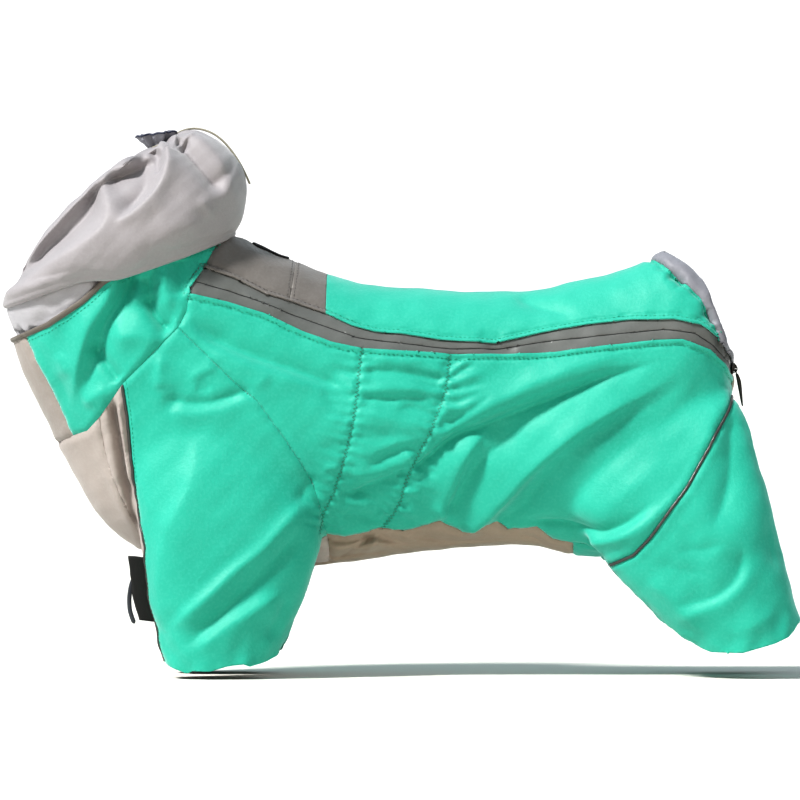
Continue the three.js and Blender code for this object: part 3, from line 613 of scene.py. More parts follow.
# A fold's line in side view, its half width, how far it stands out (+) or in (-), its lean to one
# side, and the shares of its length over which its two ends fade.
FLANK_FOLDS = [
    ([(-178.6, -15.8), (-168.5, -29.5), (-152.6, -38.9), (-129.6, -48.2), (-105.8, -56.2),
      (-82.8, -64.1), (-71.3, -69.8), (-61.9, -79.2)], 6.5, -4.6, 0.35, 0.22, 0.18),
    ([(-172.8, -36), (-154.1, -47.5), (-128.2, -56.9), (-100.8, -65.5), (-82.1, -72.7)],
     9, 2.2, 0, 0.3, 0.3),
    ([(-84.2, -67), (-78.5, -79.2), (-69.8, -88.6), (-62.6, -95.8)], 5, -1.6, 0, 0.3, 0.2),
    ([(-199.4, -74.9), (-190.1, -78.5), (-180, -80.6), (-167, -80.6), (-152.6, -77),
      (-136.8, -71.3), (-123.8, -67.7)], 6, -3.4, -0.35, 0.15, 0.35),
    ([(-197.3, -85.7), (-180, -87.8), (-162.7, -86.4), (-145.4, -80.6), (-128.2, -74.2)],
     8, 2.2, 0, 0.2, 0.35),
    ([(-197.3, -44.6), (-200.2, -57.6), (-200.9, -73.4)], 6, 2.2, 0.4, 0.3, 0.25),
    ([(-180.7, -65.5), (-169.9, -59), (-157, -54.7)], 4, 1.4, 0.2, 0.3, 0.3),
    ([(-175.7, -70.6), (-162.7, -70.6)], 4, -1.2, 0, 0.3, 0.3),
    ([(-175, -99.4), (-175, -129.6), (-184.3, -154.8), (-195.8, -180), (-199.4, -216),
      (-198.7, -246.2)], 14, 2.6, 0.45, 0.25, 0.15),
    ([(-139.7, -73.4), (-128.2, -67.7), (-121, -59)], 5, 1.2, 0, 0.3, 0.4),
    ([(-90.7, -144.7), (-108, -163.4), (-125.3, -183.6), (-148.3, -202.3), (-168.5, -221.8),
      (-193.7, -244.1)], 8, 3.0, 0.4, 0.18, 0.15),
    ([(-96.5, -165.6), (-115.2, -191.5), (-139.7, -216), (-165.6, -239), (-184.3, -257.8)],
     9, -3.6, 0, 0.25, 0.2),
    ([(-109.4, -214.6), (-129.6, -226.1), (-152.6, -240.5), (-174.2, -257.8)], 7, 2.6, 0.3, 0.25, 0.2),
    ([(-87.8, -129.6), (-96.5, -144), (-100.8, -159.8)], 7, -1.8, 0, 0.3, 0.4),
    ([(-125.3, -252), (-113.8, -231.8), (-106.6, -216)], 7, -1.5, 0, 0.3, 0.3),
    ([(-55.4, -56.9), (-35.3, -57.2), (-14.4, -60.1), (2.9, -64.1)], 3.6, -2.6, -0.45, 0.12, 0.06),
    ([(-53.3, -51.1), (-32.4, -50.4), (-11.5, -52.6), (3.6, -56.9)], 5, 1.3, 0, 0.2, 0.1),
    ([(-25.9, -65.5), (-10.1, -68.4), (4.3, -71.3)], 3.4, -1.3, 0, 0.5, 0.06),
    ([(-59, -77.4), (-35.3, -77), (-17.3, -76.3), (-4.3, -78.1), (2.9, -82.1)],
     3.6, -2.6, -0.45, 0.12, 0.06),
    ([(-56.2, -70.6), (-34.6, -70.6), (-14.4, -70.6), (2.2, -75.6)], 5, 1.3, 0, 0.2, 0.1),
    ([(-34.6, -86.4), (-20.2, -84.2), (-7.2, -87.1), (0, -92.2)], 5, -1.8, -0.3, 0.4, 0.1),
    ([(-60.5, -90.7), (-39.6, -93.6), (-20.2, -96.5), (-2.9, -98.6)], 6, 1.2, 0, 0.2, 0.1),
    ([(-62.6, -102.2), (-43.2, -105.1), (-25.9, -105.1), (-6.5, -103.7)], 4.5, -1.2, 0, 0.2, 0.1),
    ([(-11.5, -110.2), (-28.8, -114.5), (-41.8, -119.5), (-54.7, -130.3)], 4.4, -2.4, 0.35, 0.06, 0.4),
    ([(-64.8, -112.3), (-49, -116.6), (-31.7, -109.4), (-10.1, -105.1)], 6, 1.2, 0, 0.2, 0.1),
    ([(-21.6, -127.4), (-31, -131.8), (-47.5, -138.2), (-60.5, -145.4), (-73.4, -145.4)],
     3.8, -2.6, 0.4, 0.08, 0.1),
    ([(-66.2, -128.2), (-49, -131), (-28.8, -122.4), (-17.3, -119.5)], 6, 1.5, 0, 0.2, 0.1),
    ([(-63.4, -146.9), (-56.9, -144.7), (-49, -151.9), (-43.9, -164.2)], 4, -1.6, 0.2, 0.2, 0.2),
    ([(-71.3, -159.8), (-54.7, -162.7), (-43.2, -166.3), (-35.3, -160.6)], 4, -2.0, 0.3, 0.15, 0.15),
    ([(-70.6, -152.6), (-54.7, -154.1), (-41.8, -157)], 5, 1.3, 0, 0.2, 0.2),
    ([(-77.8, -165.6), (-64.8, -171.4), (-47.5, -172.8)], 5, 1.2, 0, 0.2, 0.2),
    ([(6.5, -53.3), (15.1, -49.7), (20.2, -47.5)], 2.6, -1.5, 0, 0.1, 0.5),
    ([(7.2, -58.3), (15.8, -53.3), (24.5, -49.7)], 3.0, 1.2, 0, 0.1, 0.5),
    ([(6.5, -63.4), (16.6, -56.9), (25.9, -51.8)], 2.8, -1.8, 0, 0.08, 0.5),
    ([(5.8, -67.7), (18.7, -63.4), (33.1, -59)], 3.4, 1.4, 0, 0.08, 0.5),
    ([(5, -70.6), (20.2, -69.1), (34.6, -67)], 2.8, -1.6, 0, 0.08, 0.5),
    ([(4.3, -76.3), (18.7, -73.4), (31.7, -69.8)], 3.2, 1.1, 0, 0.08, 0.5),
    ([(2.2, -80.6), (14.4, -79.2), (28.8, -73.4)], 2.8, -1.6, 0, 0.08, 0.5),
    ([(0.7, -85.7), (14.4, -84.2), (31.7, -77.8)], 4.0, 1.5, 0, 0.08, 0.5),
    ([(-1.4, -96.5), (15.8, -89.3), (30.2, -79.9), (38.9, -72.7)], 5.0, -2.6, -0.2, 0.06, 0.5),
    ([(-5, -104.4), (8.6, -101.5), (24.5, -96.5)], 3.0, 1.4, 0, 0.06, 0.5),
    ([(-7.2, -108.7), (2.9, -106.6)], 2.6, -1.5, 0, 0.1, 0.5),
    ([(-25.2, -139.7), (-11.5, -133.9), (1.4, -128.2)], 3.4, -1.6, 0, 0.06, 0.5),
    ([(-26.6, -145.4), (-11.5, -144)], 3.2, 1.2, 0, 0.06, 0.5),
    ([(-28.1, -152.6), (-18.7, -151.2)], 2.8, -1.2, 0, 0.1, 0.5),
    ([(-30.2, -157.7), (-14.4, -159.8), (-2.9, -167)], 4, 1.2, 0, 0.06, 0.5),
    ([(-20, -130), (-9.4, -121), (3.6, -108.7), (13, -102.2), (25.9, -97.9), (42.5, -90.7),
      (74.2, -77.8), (95, -69.8), (115.2, -61.9), (144, -54.7), (164.2, -48.2)],
     6.0, -6.0, -0.55, 0.04, 0.42),
    ([(8.6, -94.3), (25.9, -87.1), (47.5, -77.8), (75.6, -64.8), (108, -52.6), (144, -44.6)],
     10, 3.6, 0, 0.12, 0.4),
    ([(21.6, -108), (43.2, -99.4), (67.7, -90), (90.7, -80.6)], 10, -2.0, 0, 0.3, 0.4),
    ([(0, -166.3), (6.5, -148.3), (15.1, -128.2), (26.6, -108.7), (37.4, -96.5)],
     6, 3.2, 0.45, 0.1, 0.4),
    ([(4.3, -162.7), (13, -148.3), (23, -131.8), (37.4, -115.2), (54.7, -100.8), (70.6, -89.3)],
     10, -4.0, 0, 0.1, 0.35),
    ([(15.8, -175.7), (29.5, -164.9), (48.2, -148.3), (62.6, -131.8), (80.6, -115.9),
      (100.8, -100.8), (123.8, -87.1), (149.8, -72.7), (169.9, -59)], 7.5, 4.6, 0.45, 0.06, 0.45),
    ([(41.8, -168.5), (51.8, -162.7), (61.9, -154.1), (70.6, -141.1), (86.4, -128.2)],
     9, -3.0, 0.2, 0.1, 0.5),
    ([(56, -165), (72, -168), (86.4, -168), (101, -171), (116, -173), (131, -168), (146, -157),
      (153, -150)], 3.8, -3.6, 0.35, 0.2, 0.3),
    ([(96, -178.5), (114, -180), (131, -176), (146, -167), (160, -152)], 5.5, 2.4, 0, 0.25, 0.3),
    ([(115.2, -180.7), (141.1, -174.2), (161.3, -154.8), (172.8, -136.8)], 9, 2.0, 0, 0.3, 0.4),
    ([(86.4, -159.8), (115.2, -154.8), (144, -138.2), (161.3, -115.2)], 18, 2.4, 0, 0.3, 0.4),
    ([(86.4, -116.6), (119.5, -100.8), (151.2, -82.1), (180, -61.9)], 12, -1.8, 0, 0.35, 0.35),
    ([(211, -79.2), (208.1, -100.8), (207.4, -126.7), (202.3, -151.2), (190.1, -175.7)],
     10, -3.4, 0.1, 0.2, 0.3),
    ([(198.7, -73.4), (193, -100.8), (187.2, -123.8)], 12, 1.8, 0, 0.35, 0.4),
    ([(187.2, -44.6), (198.7, -59), (203, -73.4)], 7, -1.2, 0, 0.3, 0.4),
    ([(214.5, -178), (215.5, -192), (211, -206), (199, -217), (182, -223.5), (163, -226)],
     8, -2.6, -0.45, 0.25, 0.35),
    ([(220.5, -190), (216.5, -206), (205, -219), (187, -228.5), (168, -233)], 8, 1.9, 0, 0.3, 0.3),
    ([(166.3, -185.8), (187.2, -185), (204.5, -180.7)], 5, -1.4, 0, 0.3, 0.4),
    ([(202, -247), (220, -240), (241, -228)], 8, 1.3, 0.2, 0.4, 0.4),
    ([(144, -208.8), (164.2, -217.4), (187.2, -244.8)], 9, 1.5, 0, 0.3, 0.3),
    ([(231.8, -151.2), (236.2, -180), (241.9, -208.8)], 9, -1.4, 0, 0.4, 0.4),
    ([(151.2, -194.4), (180, -201.6), (198.7, -198.7)], 8, -1.2, 0, 0.3, 0.4),
    ([(-229.5, 14), (-233, 4), (-237.5, -9.4), (-250, -29), (-255, -44), (-259, -60), (-263, -84)],
     6.5, 3.8, -0.5, 0.06, 0.3),
    ([(-221, 15), (-228, -4), (-240, -24), (-246, -42), (-251, -60), (-257, -80)],
     8.0, -4.0, 0.4, 0.04, 0.35),
    ([(-216, 16), (-226, -4), (-240, -30)], 15.0, -3.0, 0, 0.03, 0.8),
    ([(-252, -38), (-245, -47), (-238, -56), (-229.5, -66)], 4.4, -4.0, 0.35, 0.15, 0.1),
    ([(-210, -3), (-206, -13), (-200, -22), (-193, -29)], 5.0, -3.4, 0.4, 0.15, 0.15),
    ([(-256, -84), (-246, -76), (-236, -70)], 6.0, 2.0, 0, 0.3, 0.3),
    ([(-238, -35), (-216, -33), (-197, -39)], 9.0, 2.8, 0, 0.25, 0.3),
    ([(-208, 14), (-206.6, 2.9), (-204.5, -14.4), (-198, -24), (-190.5, -29.5)],
     5.4, -4.2, -0.3, 0.03, 0.1),
    ([(-198, 24), (-197.5, 2), (-192, -19)], 6.0, 2.8, 0.1, 0.03, 0.3),
    ([(-214, 20), (-216, 2), (-221, -16)], 5.0, 2.4, 0, 0.05, 0.4),
    ([(-187.5, 22), (-186, 8), (-184, -8)], 4.0, -2.4, 0, 0.03, 0.3),
    ([(-273.6, -43.2), (-269.3, -54.7), (-265, -64.8)], 5, 1.3, 0, 0.35, 0.4),
    ([(-276.5, -59), (-269.3, -72), (-266.4, -86.4)], 4, -1.0, 0, 0.35, 0.4),
    ([(-236.2, -77.8), (-231.8, -100.8), (-227.5, -129.6), (-221.8, -157)], 3.4, -5.0, 0.3, 0.1, 0.25),
    ([(-231.1, -77.8), (-226.8, -100.8), (-222.5, -128.2), (-218.2, -151.2)], 3.0, 3.0, 0, 0.15, 0.3),
    ([(28.8, -39.6), (43.2, -43.2), (57.6, -40.3)], 3, -1.2, 0, 0.3, 0.3),
    ([(25.2, -30.2), (37.4, -33.1), (46.8, -31.7)], 3, -1.3, 0, 0.3, 0.3),
    ([(52.6, -2.9), (67.7, -10.8), (85, -15.8), (98.6, -15.8)], 5, -1.6, 0.2, 0.2, 0.4),
    ([(-144, 0), (-128.2, -9.4), (-108, -17.3)], 5, 1.2, 0, 0.3, 0.3),
    ([(163, 14), (170, 9), (175.7, 4.3)], 3.0, -3.4, -0.3, 0.2, 0.2),
    ([(190, -13), (194, -19), (197, -25)], 2.6, -3.0, -0.3, 0.2, 0.2),
    ([(-59, -61), (-68, -57), (-79, -52)], 3.0, -1.5, 0, 0.06, 0.6),
    ([(-60, -68), (-70, -66), (-80, -61)], 3.0, 1.2, 0, 0.06, 0.6),
    ([(-62, -80), (-74, -76), (-86, -70)], 3.6, -1.6, 0, 0.06, 0.6),
    ([(-64, -95), (-74, -93), (-84, -90)], 3.4, 1.2, 0, 0.06, 0.6),
    ([(-67, -112), (-77, -112), (-88, -109)], 3.6, -1.5, 0, 0.06, 0.6),
    ([(-71, -124), (-80, -128), (-88, -131)], 3.2, 1.2, 0, 0.06, 0.6),
]
# Creases that run where the cloth turns away under the belly and at the chest, pushed in or out
# sideways, in the same columns.
SIDE_CREASES = [
    ([(-86, -178), (-66, -180), (-50, -176), (-34, -180), (-16, -183)], 2.4, -5.0, 0.3, 0.1, 0.3),
    ([(-84, -184), (-66, -186), (-48, -182), (-30, -185)], 2.8, 4.0, 0, 0.2, 0.3),
    ([(-88, -190), (-70, -192), (-50, -188), (-28, -190), (0, -187)], 2.4, -4.5, 0, 0.15, 0.3),
    ([(-50, -174), (-56, -181), (-66, -188), (-76, -195)], 2.6, -4.5, 0.3, 0.1, 0.2),
    ([(-44, -175), (-48, -183), (-56, -191)], 2.8, 3.5, 0, 0.1, 0.3),
    ([(-26, -174), (-10, -178), (8, -181), (30, -180), (52, -177)], 2.6, -4.5, 0.3, 0.2, 0.3),
    ([(-20, -184), (4, -187), (32, -186), (60, -183)], 3.2, 3.5, 0, 0.3, 0.3),
    ([(54, -174), (66, -178), (80, -184), (92, -187)], 2.4, -4.0, 0.2, 0.15, 0.2),
    ([(-236, -77), (-232.5, -100), (-228, -128), (-221, -156), (-213, -176)], 2.6, -7.0, 0.4, 0.06, 0.15),
    ([(-231, -74), (-227.5, -96), (-224, -124), (-219, -146)], 2.6, 4.5, 0, 0.1, 0.2),
    ([(-227.5, -80), (-224.5, -104), (-221, -130)], 1.8, -5.0, 0, 0.1, 0.3),
    ([(-240, -118), (-233, -142), (-224, -163), (-214, -180)], 4.0, 3.0, 0, 0.3, 0.2),
]
PLEAT_LONG = 7.5                 # mm from one pleat of the elastic to the next
PLEAT_DEEP = 1.15
PLEAT_REACH = 8                  # how far from the elastic the pleats carry
VALLEY_DEEP = 1.0                # the elastic's own groove
VALLEY_HALF = 2.2
ELASTIC_REACH = 30
BINDING_FULL = 1.5               # how far the tail's binding stands out
ZIP_LIP_REACH = 14               # how far from the zip's edge its raised lip is felt


def away_from_line(x, z, line, reach):
    """For points near a side-view line: their numbers, distance to its side, and share of its run."""
    line = np.array(line, float)
    low, high = line.min(axis=0) - reach, line.max(axis=0) + reach
    near = np.flatnonzero((x > low[0]) & (x < high[0]) & (z > low[1]) & (z < high[1]))
    best = np.full(len(near), np.inf)
    signed = np.zeros(len(near))
    share = np.zeros(len(near))
    lengths = np.linalg.norm(np.diff(line, axis=0), axis=1)
    before = np.concatenate([[0], np.cumsum(lengths)])
    for a, b, length, start in zip(line[:-1], line[1:], lengths, before):
        along = (b - a) / length
        dx, dz = x[near] - a[0], z[near] - a[1]
        run = np.clip(dx * along[0] + dz * along[1], 0, length)
        gap = np.hypot(dx - run * along[0], dz - run * along[1])
        closer = gap < best
        best[closer] = gap[closer]
        side = np.sign(along[0] * dz - along[1] * dx)
        signed[closer] = (gap * side)[closer]
        share[closer] = ((start + run) / before[-1])[closer]
    return near, signed, share, before[-1]


def fold(x, z, line, wide, deep, lean, fade_in, fade_out):
    """How far one fold moves each point of the cloth."""
    moved = np.zeros(len(x))
    near, signed, share, _ = away_from_line(x, z, filled_in(line, 4), 3.2 * wide * (1 + abs(lean)))
    width = np.where(signed > 0, wide * (1 + lean), wide * (1 - lean))
    fade = eased(share, 0, fade_in) * eased(1 - share, 0, fade_out)
    narrowed = 0.55 + 0.45 * fade
    crispness = 1.25 if deep < 0 else 1.6
    moved[near] = deep * fade * np.exp(-(np.abs(signed) / (width * narrowed)) ** crispness)
    return moved


def folded(x, z, folds, left, right, sway, right_share, strength=1.0):
    """Every fold of a table, on both sides; sway and right_share make the right side's differ."""
    moved = np.zeros(len(x))
    for number, (line, wide, deep, lean, fade_in, fade_out) in enumerate(folds):
        moved += left * fold(x, z, line, wide, strength * deep, lean, fade_in, fade_out)
        aside, up = sway(number)
        other = [(a + aside, b + up) for a, b in line]
        right_deep = strength * deep * right_share(number)
        moved += right * fold(x, z, other, wide, right_deep, lean, fade_in, fade_out)
    return moved


def elastic(x, z, line, phase):
    """A line of zigzag elastic: a narrow valley with short uneven pleats on both sides."""
    moved = np.zeros(len(x))
    near, signed, share, length = away_from_line(x, z, filled_in(line, 4), ELASTIC_REACH)
    run = share * length
    wave = np.sin(2 * math.pi * run / PLEAT_LONG + phase + 1.3 * np.sin(run / 11 + phase))
    fade = eased(share, 0, 0.04) * eased(1 - share, 0, 0.04)
    beside = np.exp(-np.abs(signed) / PLEAT_REACH) * (1 - np.exp(-(signed / 1.5) ** 2))
    pleats = PLEAT_DEEP * wave * beside
    valley = -VALLEY_DEEP * np.exp(-(signed / VALLEY_HALF) ** 2)
    moved[near] = (pleats + valley) * fade
    return moved


def ripple(points, length, seed):
    """Smooth uneven waves from -1 to 1, about one length from crest to crest."""
    total = np.zeros(len(points))
    for k in range(5):
        turn = seed * 1.7 + k * 2.399
        lift = math.sin(seed * 3.1 + k * 1.3)
        aim = np.array([math.cos(turn), math.sin(turn) * math.cos(lift), math.sin(lift)])
        stretch = 1 + 0.35 * math.sin(seed + k * 4.1)
        total += np.sin(2 * math.pi * (points @ aim) / (length * stretch) + seed * 5.3 + k * 1.9)
    return total / 2.6


def unit(vectors):
    """Each row of numbers brought to a length of 1."""
    return vectors / np.maximum(np.linalg.norm(vectors, axis=1), 1e-12)[:, None]


def point_normals(points, faces):
    """The outward direction of the cloth at each point."""
    a, b, c = (points[faces[:, k]] for k in range(3))
    across = np.cross(b - a, c - a)
    total = np.stack([
        sum(np.bincount(faces[:, k], weights=across[:, d], minlength=len(points)) for k in range(3))
        for d in range(3)
    ], axis=1)
    return unit(total)


def calmed(values):
    """One value for each point of the cloth, softened along its edges."""
    return softened(np.repeat(values[:, None], 3, axis=1), cloth_edges, 2, 0.5)[:, 0]


cloth_edges, _ = edges_of(cloth_faces)
outward = unit(softened(point_normals(cloth_points, cloth_faces), cloth_edges, 3, 0.5))
x, y, z = cloth_points.T
pressed = 0.35 * ripple(cloth_points, 46, 1.0) + 0.22 * ripple(cloth_points, 21, 2.0)
left_face = eased(-outward[:, 1], 0.05, 0.4) * (y < 0)
right_face = eased(outward[:, 1], 0.05, 0.4) * (y > 0)
pressed += folded(x, z, FLANK_FOLDS, left_face, right_face,
                  lambda n: (3.5 * math.sin(3.1 * n), 3.5 * math.cos(2.3 * n)),
                  lambda n: 0.8 + 0.3 * math.sin(1.7 * n), FOLD_STRENGTH)
pressed = calmed(pressed)
pushed = folded(x, z, SIDE_CREASES, y < 0, y > 0,
                lambda n: (3 * math.sin(2.1 * n), 2.5 * math.cos(1.3 * n)), lambda n: 0.85)
pushed = calmed(pushed * eased(np.abs(y), 8, 24) * eased(-z, 74, 90))
for line, phase in ((ELASTIC_FRONT, 0.4), (ELASTIC_REAR, 2.1)):
    pressed += left_face * elastic(x, z, line, phase)
    pressed += right_face * elastic(x, z, line, phase + 1.4)


def tree_of(points, numbers):
    """Some of the points, ready for finding the nearest."""
    tree = KDTree(len(numbers))
    for number in numbers:
        tree.insert(points[number], int(number))
    tree.balance()
    return tree


def border_distance(pairs):
    """Each point's distance to the nearest edge that lies between a chosen pair of triangles."""
    one, two = cloth_faces[beside_one[pairs]], cloth_faces[beside_two[pairs]]
    shared = (one[:, :, None] == two[:, None, :]).any(axis=2)
    tree = tree_of(cloth_points, np.unique(one[shared]))
    return np.array([tree.find(point)[2] for point in cloth_points])


binding_number = seed_names.index("tail_binding")
tapes = [seed_names.index("zip_tape_upper"), seed_names.index("zip_tape_lower")]
wastes = [n for n, name in enumerate(seed_names) if name.startswith("waste")]
panel_one, panel_two = panel_of[beside_one], panel_of[beside_two]
waste_one, waste_two = np.isin(panel_one, wastes), np.isin(panel_two, wastes)
tape_one, tape_two = np.isin(panel_one, tapes), np.isin(panel_two, tapes)
opening = waste_one != waste_two
parting = panel_one != panel_two
from_open = border_distance(opening)
from_zip = border_distance((tape_one != tape_two) & ~opening)
from_middle = border_distance(parting & tape_one & tape_two)
from_plain = border_distance(parting & ~(tape_one | tape_two | waste_one | waste_two))
from_binding = border_distance(((panel_one == binding_number) != (panel_two == binding_number)) & ~opening)
pucker = ripple(cloth_points, 9, 3.0)
flat_seam = 1 - 0.8 * eased(x, -118, -110) * (1 - eased(x, -78, -70)) * eased(z, -40, -28)
seam_ridge = 0.3 * np.exp(-((from_plain - 5) / 2.6) ** 2)
seam_groove = 1.1 * np.exp(-(from_plain / 1.7) ** 2)
pressed += flat_seam * (seam_ridge - seam_groove)
pressed += flat_seam * 0.35 * pucker * np.exp(-from_plain / 5)
pressed += 0.9 * ripple(cloth_points, 19, 4.0) * np.exp(-from_open / 16)
on_cloth = (from_zip < ZIP_LIP_REACH) * (1.2 * np.exp(-(from_zip / 3.3) ** 4)
                                         - 0.9 * np.exp(-((from_zip - 4.0) / 0.9) ** 2)
                                         + 0.2 * pucker * np.exp(-((from_zip - 5) / 3) ** 2))
on_tape = -0.35 - 0.25 * np.exp(-(from_middle / 0.8) ** 2)
in_binding = np.zeros(len(cloth_points), bool)
in_binding[np.unique(cloth_faces[panel_of == binding_number])] = True
rounded = np.sin(math.pi * np.clip(from_binding / np.maximum(from_binding + from_open, 1e-6), 0, 1))
pressed += in_binding * (BINDING_FULL * np.sqrt(np.clip(rounded, 0, 1)) + 0.12 * pucker)
pressed += ~in_binding * (1.3 * ripple(cloth_points, 15, 6.5) - 1.6) * np.exp(-(from_binding / 5) ** 2)
bent_points = cloth_points + outward * pressed[:, None]
bent_points[:, 1] += np.sign(y) * pushed
bent_outward = point_normals(bent_points, cloth_faces)


def run_of(number, *others):
    """The seams between one panel and others, each as a run of point numbers in order."""
    own = seed_names.index(number)
    rest = [seed_names.index(name) for name in others]
    pairs = ((panel_one == own) & np.isin(panel_two, rest)) | ((panel_two == own) & np.isin(panel_one, rest))
    links_of = {}
    for a, b in zip(cloth_faces[beside_one[pairs]], cloth_faces[beside_two[pairs]]):
        ends = [int(p) for p in a if p in b]
        for here, there in (ends, ends[::-1]):
            links_of.setdefault(here, []).append(there)
    runs = []
    while links_of:
        tips = [p for p, near in links_of.items() if len(near) == 1]
        here = tips[0] if tips else next(iter(links_of))
        run = [here]
        while links_of.get(here):
            there = links_of[here].pop()
            links_of[there].remove(here)
            if not links_of[here]:
                del links_of[here]
            run.append(there)
            here = there
        if not links_of.get(here, True):
            del links_of[here]
        runs.append(run)
    return sorted(runs, key=len, reverse=True)


def evened(points, step, rounds=6):
    """A run of points set at even steps, with its small jogs smoothed out."""
    points = np.array(points, float)
    for _ in range(rounds):
        points[1:-1] = points[1:-1] * 0.5 + (points[:-2] + points[2:]) * 0.25
    run = np.concatenate([[0], np.cumsum(np.linalg.norm(np.diff(points, axis=0), axis=1))])
    count = max(2, int(round(run[-1] / step)) + 1)
    at = np.linspace(0, run[-1], count)
    return np.stack([np.interp(at, run, points[:, k]) for k in range(3)], axis=1)


def directions(route, closed=False):
    """The direction in which a route runs at each of its points."""
    along = np.gradient(route, axis=0)
    if closed:
        along[0] = along[-1] = route[1] - route[-2]
    return unit(along)


def laid(route, aside, lift):
    """A route laid on the cloth, moved to one side and off it: places, off-cloth, along, across."""
    places, off_cloth = [], []
    for point in route:
        place, _, face, _ = cloth_surface.find_nearest(Vector(point))
        places.append(place)
        off_cloth.append(bent_outward[cloth_faces[face]].sum(axis=0))
    places, off_cloth = np.array(places), np.array(off_cloth)
    for _ in range(4):
        off_cloth[1:-1] = off_cloth[1:-1] * 0.5 + (off_cloth[:-2] + off_cloth[2:]) * 0.25
    off_cloth = unit(off_cloth)
    along = directions(places)
    across = unit(np.cross(off_cloth, along))
    if aside:
        return laid(places + across * aside, 0, lift)
    return places + off_cloth * lift, off_cloth, along, across


# The cloth's outer face, for finding places on it.
shaped_points = bent_points + bent_outward * on_cloth[:, None]
cloth_surface = BVHTree.FromPolygons([Vector(p) for p in shaped_points],
                                     [tuple(f) for f in cloth_faces.tolist()])

# ---- the panels ----
# Each panel is one cut piece of softshell, sewn to its neighbours with the edges turned in. The mint
# pieces and the greys are the same cloth: a fine pebbled face with a soft satin sheen.


def softshell_group():
    """Softshell's face: a pebbled grain in two sizes, and slow drifts of shade."""
    group, taken, given = new_group(
        "softshell_face",
        [("Deep", "NodeSocketColor", (0.05, 0.5, 0.35, 1)),
         ("Base", "NodeSocketColor", (0.1, 0.6, 0.4, 1)),
         ("Pale", "NodeSocketColor", (0.2, 0.7, 0.5, 1)), ("Rough", "NodeSocketFloat", 0.5)],
        [("Color", "NodeSocketColor"), ("Height", "NodeSocketFloat"), ("Roughness", "NodeSocketFloat")],
    )
    place = group.nodes.new("ShaderNodeTexCoord")
    grains = {}
    for name, scale, detail in (("drift", 14, 2), ("pebble", 460, 1), ("fine", 1300, 2), ("wear", 60, 3)):
        grain = group.nodes.new("ShaderNodeTexNoise")
        grain.inputs["Scale"].default_value = scale
        grain.inputs["Detail"].default_value = detail
        group.links.new(place.outputs["Object"], grain.inputs["Vector"])
        grains[name] = grain

    def spread(source, low, high, to_low, to_high):
        step = group.nodes.new("ShaderNodeMapRange")
        for socket, value in (("From Min", low), ("From Max", high),
                              ("To Min", to_low), ("To Max", to_high)):
            step.inputs[socket].default_value = value
        group.links.new(source, step.inputs["Value"])
        return step.outputs["Result"]

    def blend(share, one, two):
        step = group.nodes.new("ShaderNodeMix")
        step.data_type = "RGBA"
        group.links.new(share, step.inputs["Factor"])
        group.links.new(one, step.inputs["A"])
        group.links.new(two, step.inputs["B"])
        return step.outputs["Result"]

    def combined(operation, one, two):
        step = group.nodes.new("ShaderNodeMath")
        step.operation = operation
        for number, value in enumerate((one, two)):
            if isinstance(value, float):
                step.inputs[number].default_value = value
            else:
                group.links.new(value, step.inputs[number])
        return step.outputs[0]

    drift = spread(grains["drift"].outputs["Fac"], 0.35, 0.65, 0.0, 1.0)
    toned = blend(spread(grains["drift"].outputs["Fac"], 0.3, 0.55, 0.45, 0.0), taken.outputs["Base"],
                  taken.outputs["Deep"])
    speck = spread(grains["pebble"].outputs["Fac"], 0.45, 0.7, 0.0, 0.12)
    group.links.new(blend(speck, toned, taken.outputs["Pale"]), given.inputs["Color"])
    height = combined("ADD", combined("MULTIPLY", grains["pebble"].outputs["Fac"], 0.65),
                      combined("MULTIPLY", grains["fine"].outputs["Fac"], 0.35))
    group.links.new(height, given.inputs["Height"])
    wear = spread(grains["wear"].outputs["Fac"], 0.3, 0.7, -0.05, 0.06)
    unevenness = combined("ADD", wear, combined("MULTIPLY", drift, 0.04))
    rough = combined("ADD", taken.outputs["Rough"], unevenness)
    group.links.new(rough, given.inputs["Roughness"])
    return group


SOFTSHELL_FACE = softshell_group()


def softshell(material, *, deep, base, pale, rough=0.52, sheen=0.15, tint=(1, 1, 1), grain=0.35):
    """One colour of softshell."""
    made = finished(material, base=base, rough=rough, sheen=sheen, sheen_tint=tint, specular=0.36)
    nodes, links = made.node_tree.nodes, made.node_tree.links
    face = nodes.new("ShaderNodeGroup")
    face.node_tree = SOFTSHELL_FACE
    for socket, colour in (("Deep", deep), ("Base", base), ("Pale", pale)):
        face.inputs[socket].default_value = (*colour, 1)
    face.inputs["Rough"].default_value = rough
    raised = nodes.new("ShaderNodeBump")
    raised.inputs["Strength"].default_value = grain
    raised.inputs["Distance"].default_value = 0.0007
    shader = nodes["Principled BSDF"]
    links.new(face.outputs["Color"], shader.inputs["Base Color"])
    links.new(face.outputs["Roughness"], shader.inputs["Roughness"])
    links.new(face.outputs["Height"], raised.inputs["Height"])
    links.new(raised.outputs["Normal"], shader.inputs["Normal"])
    return made


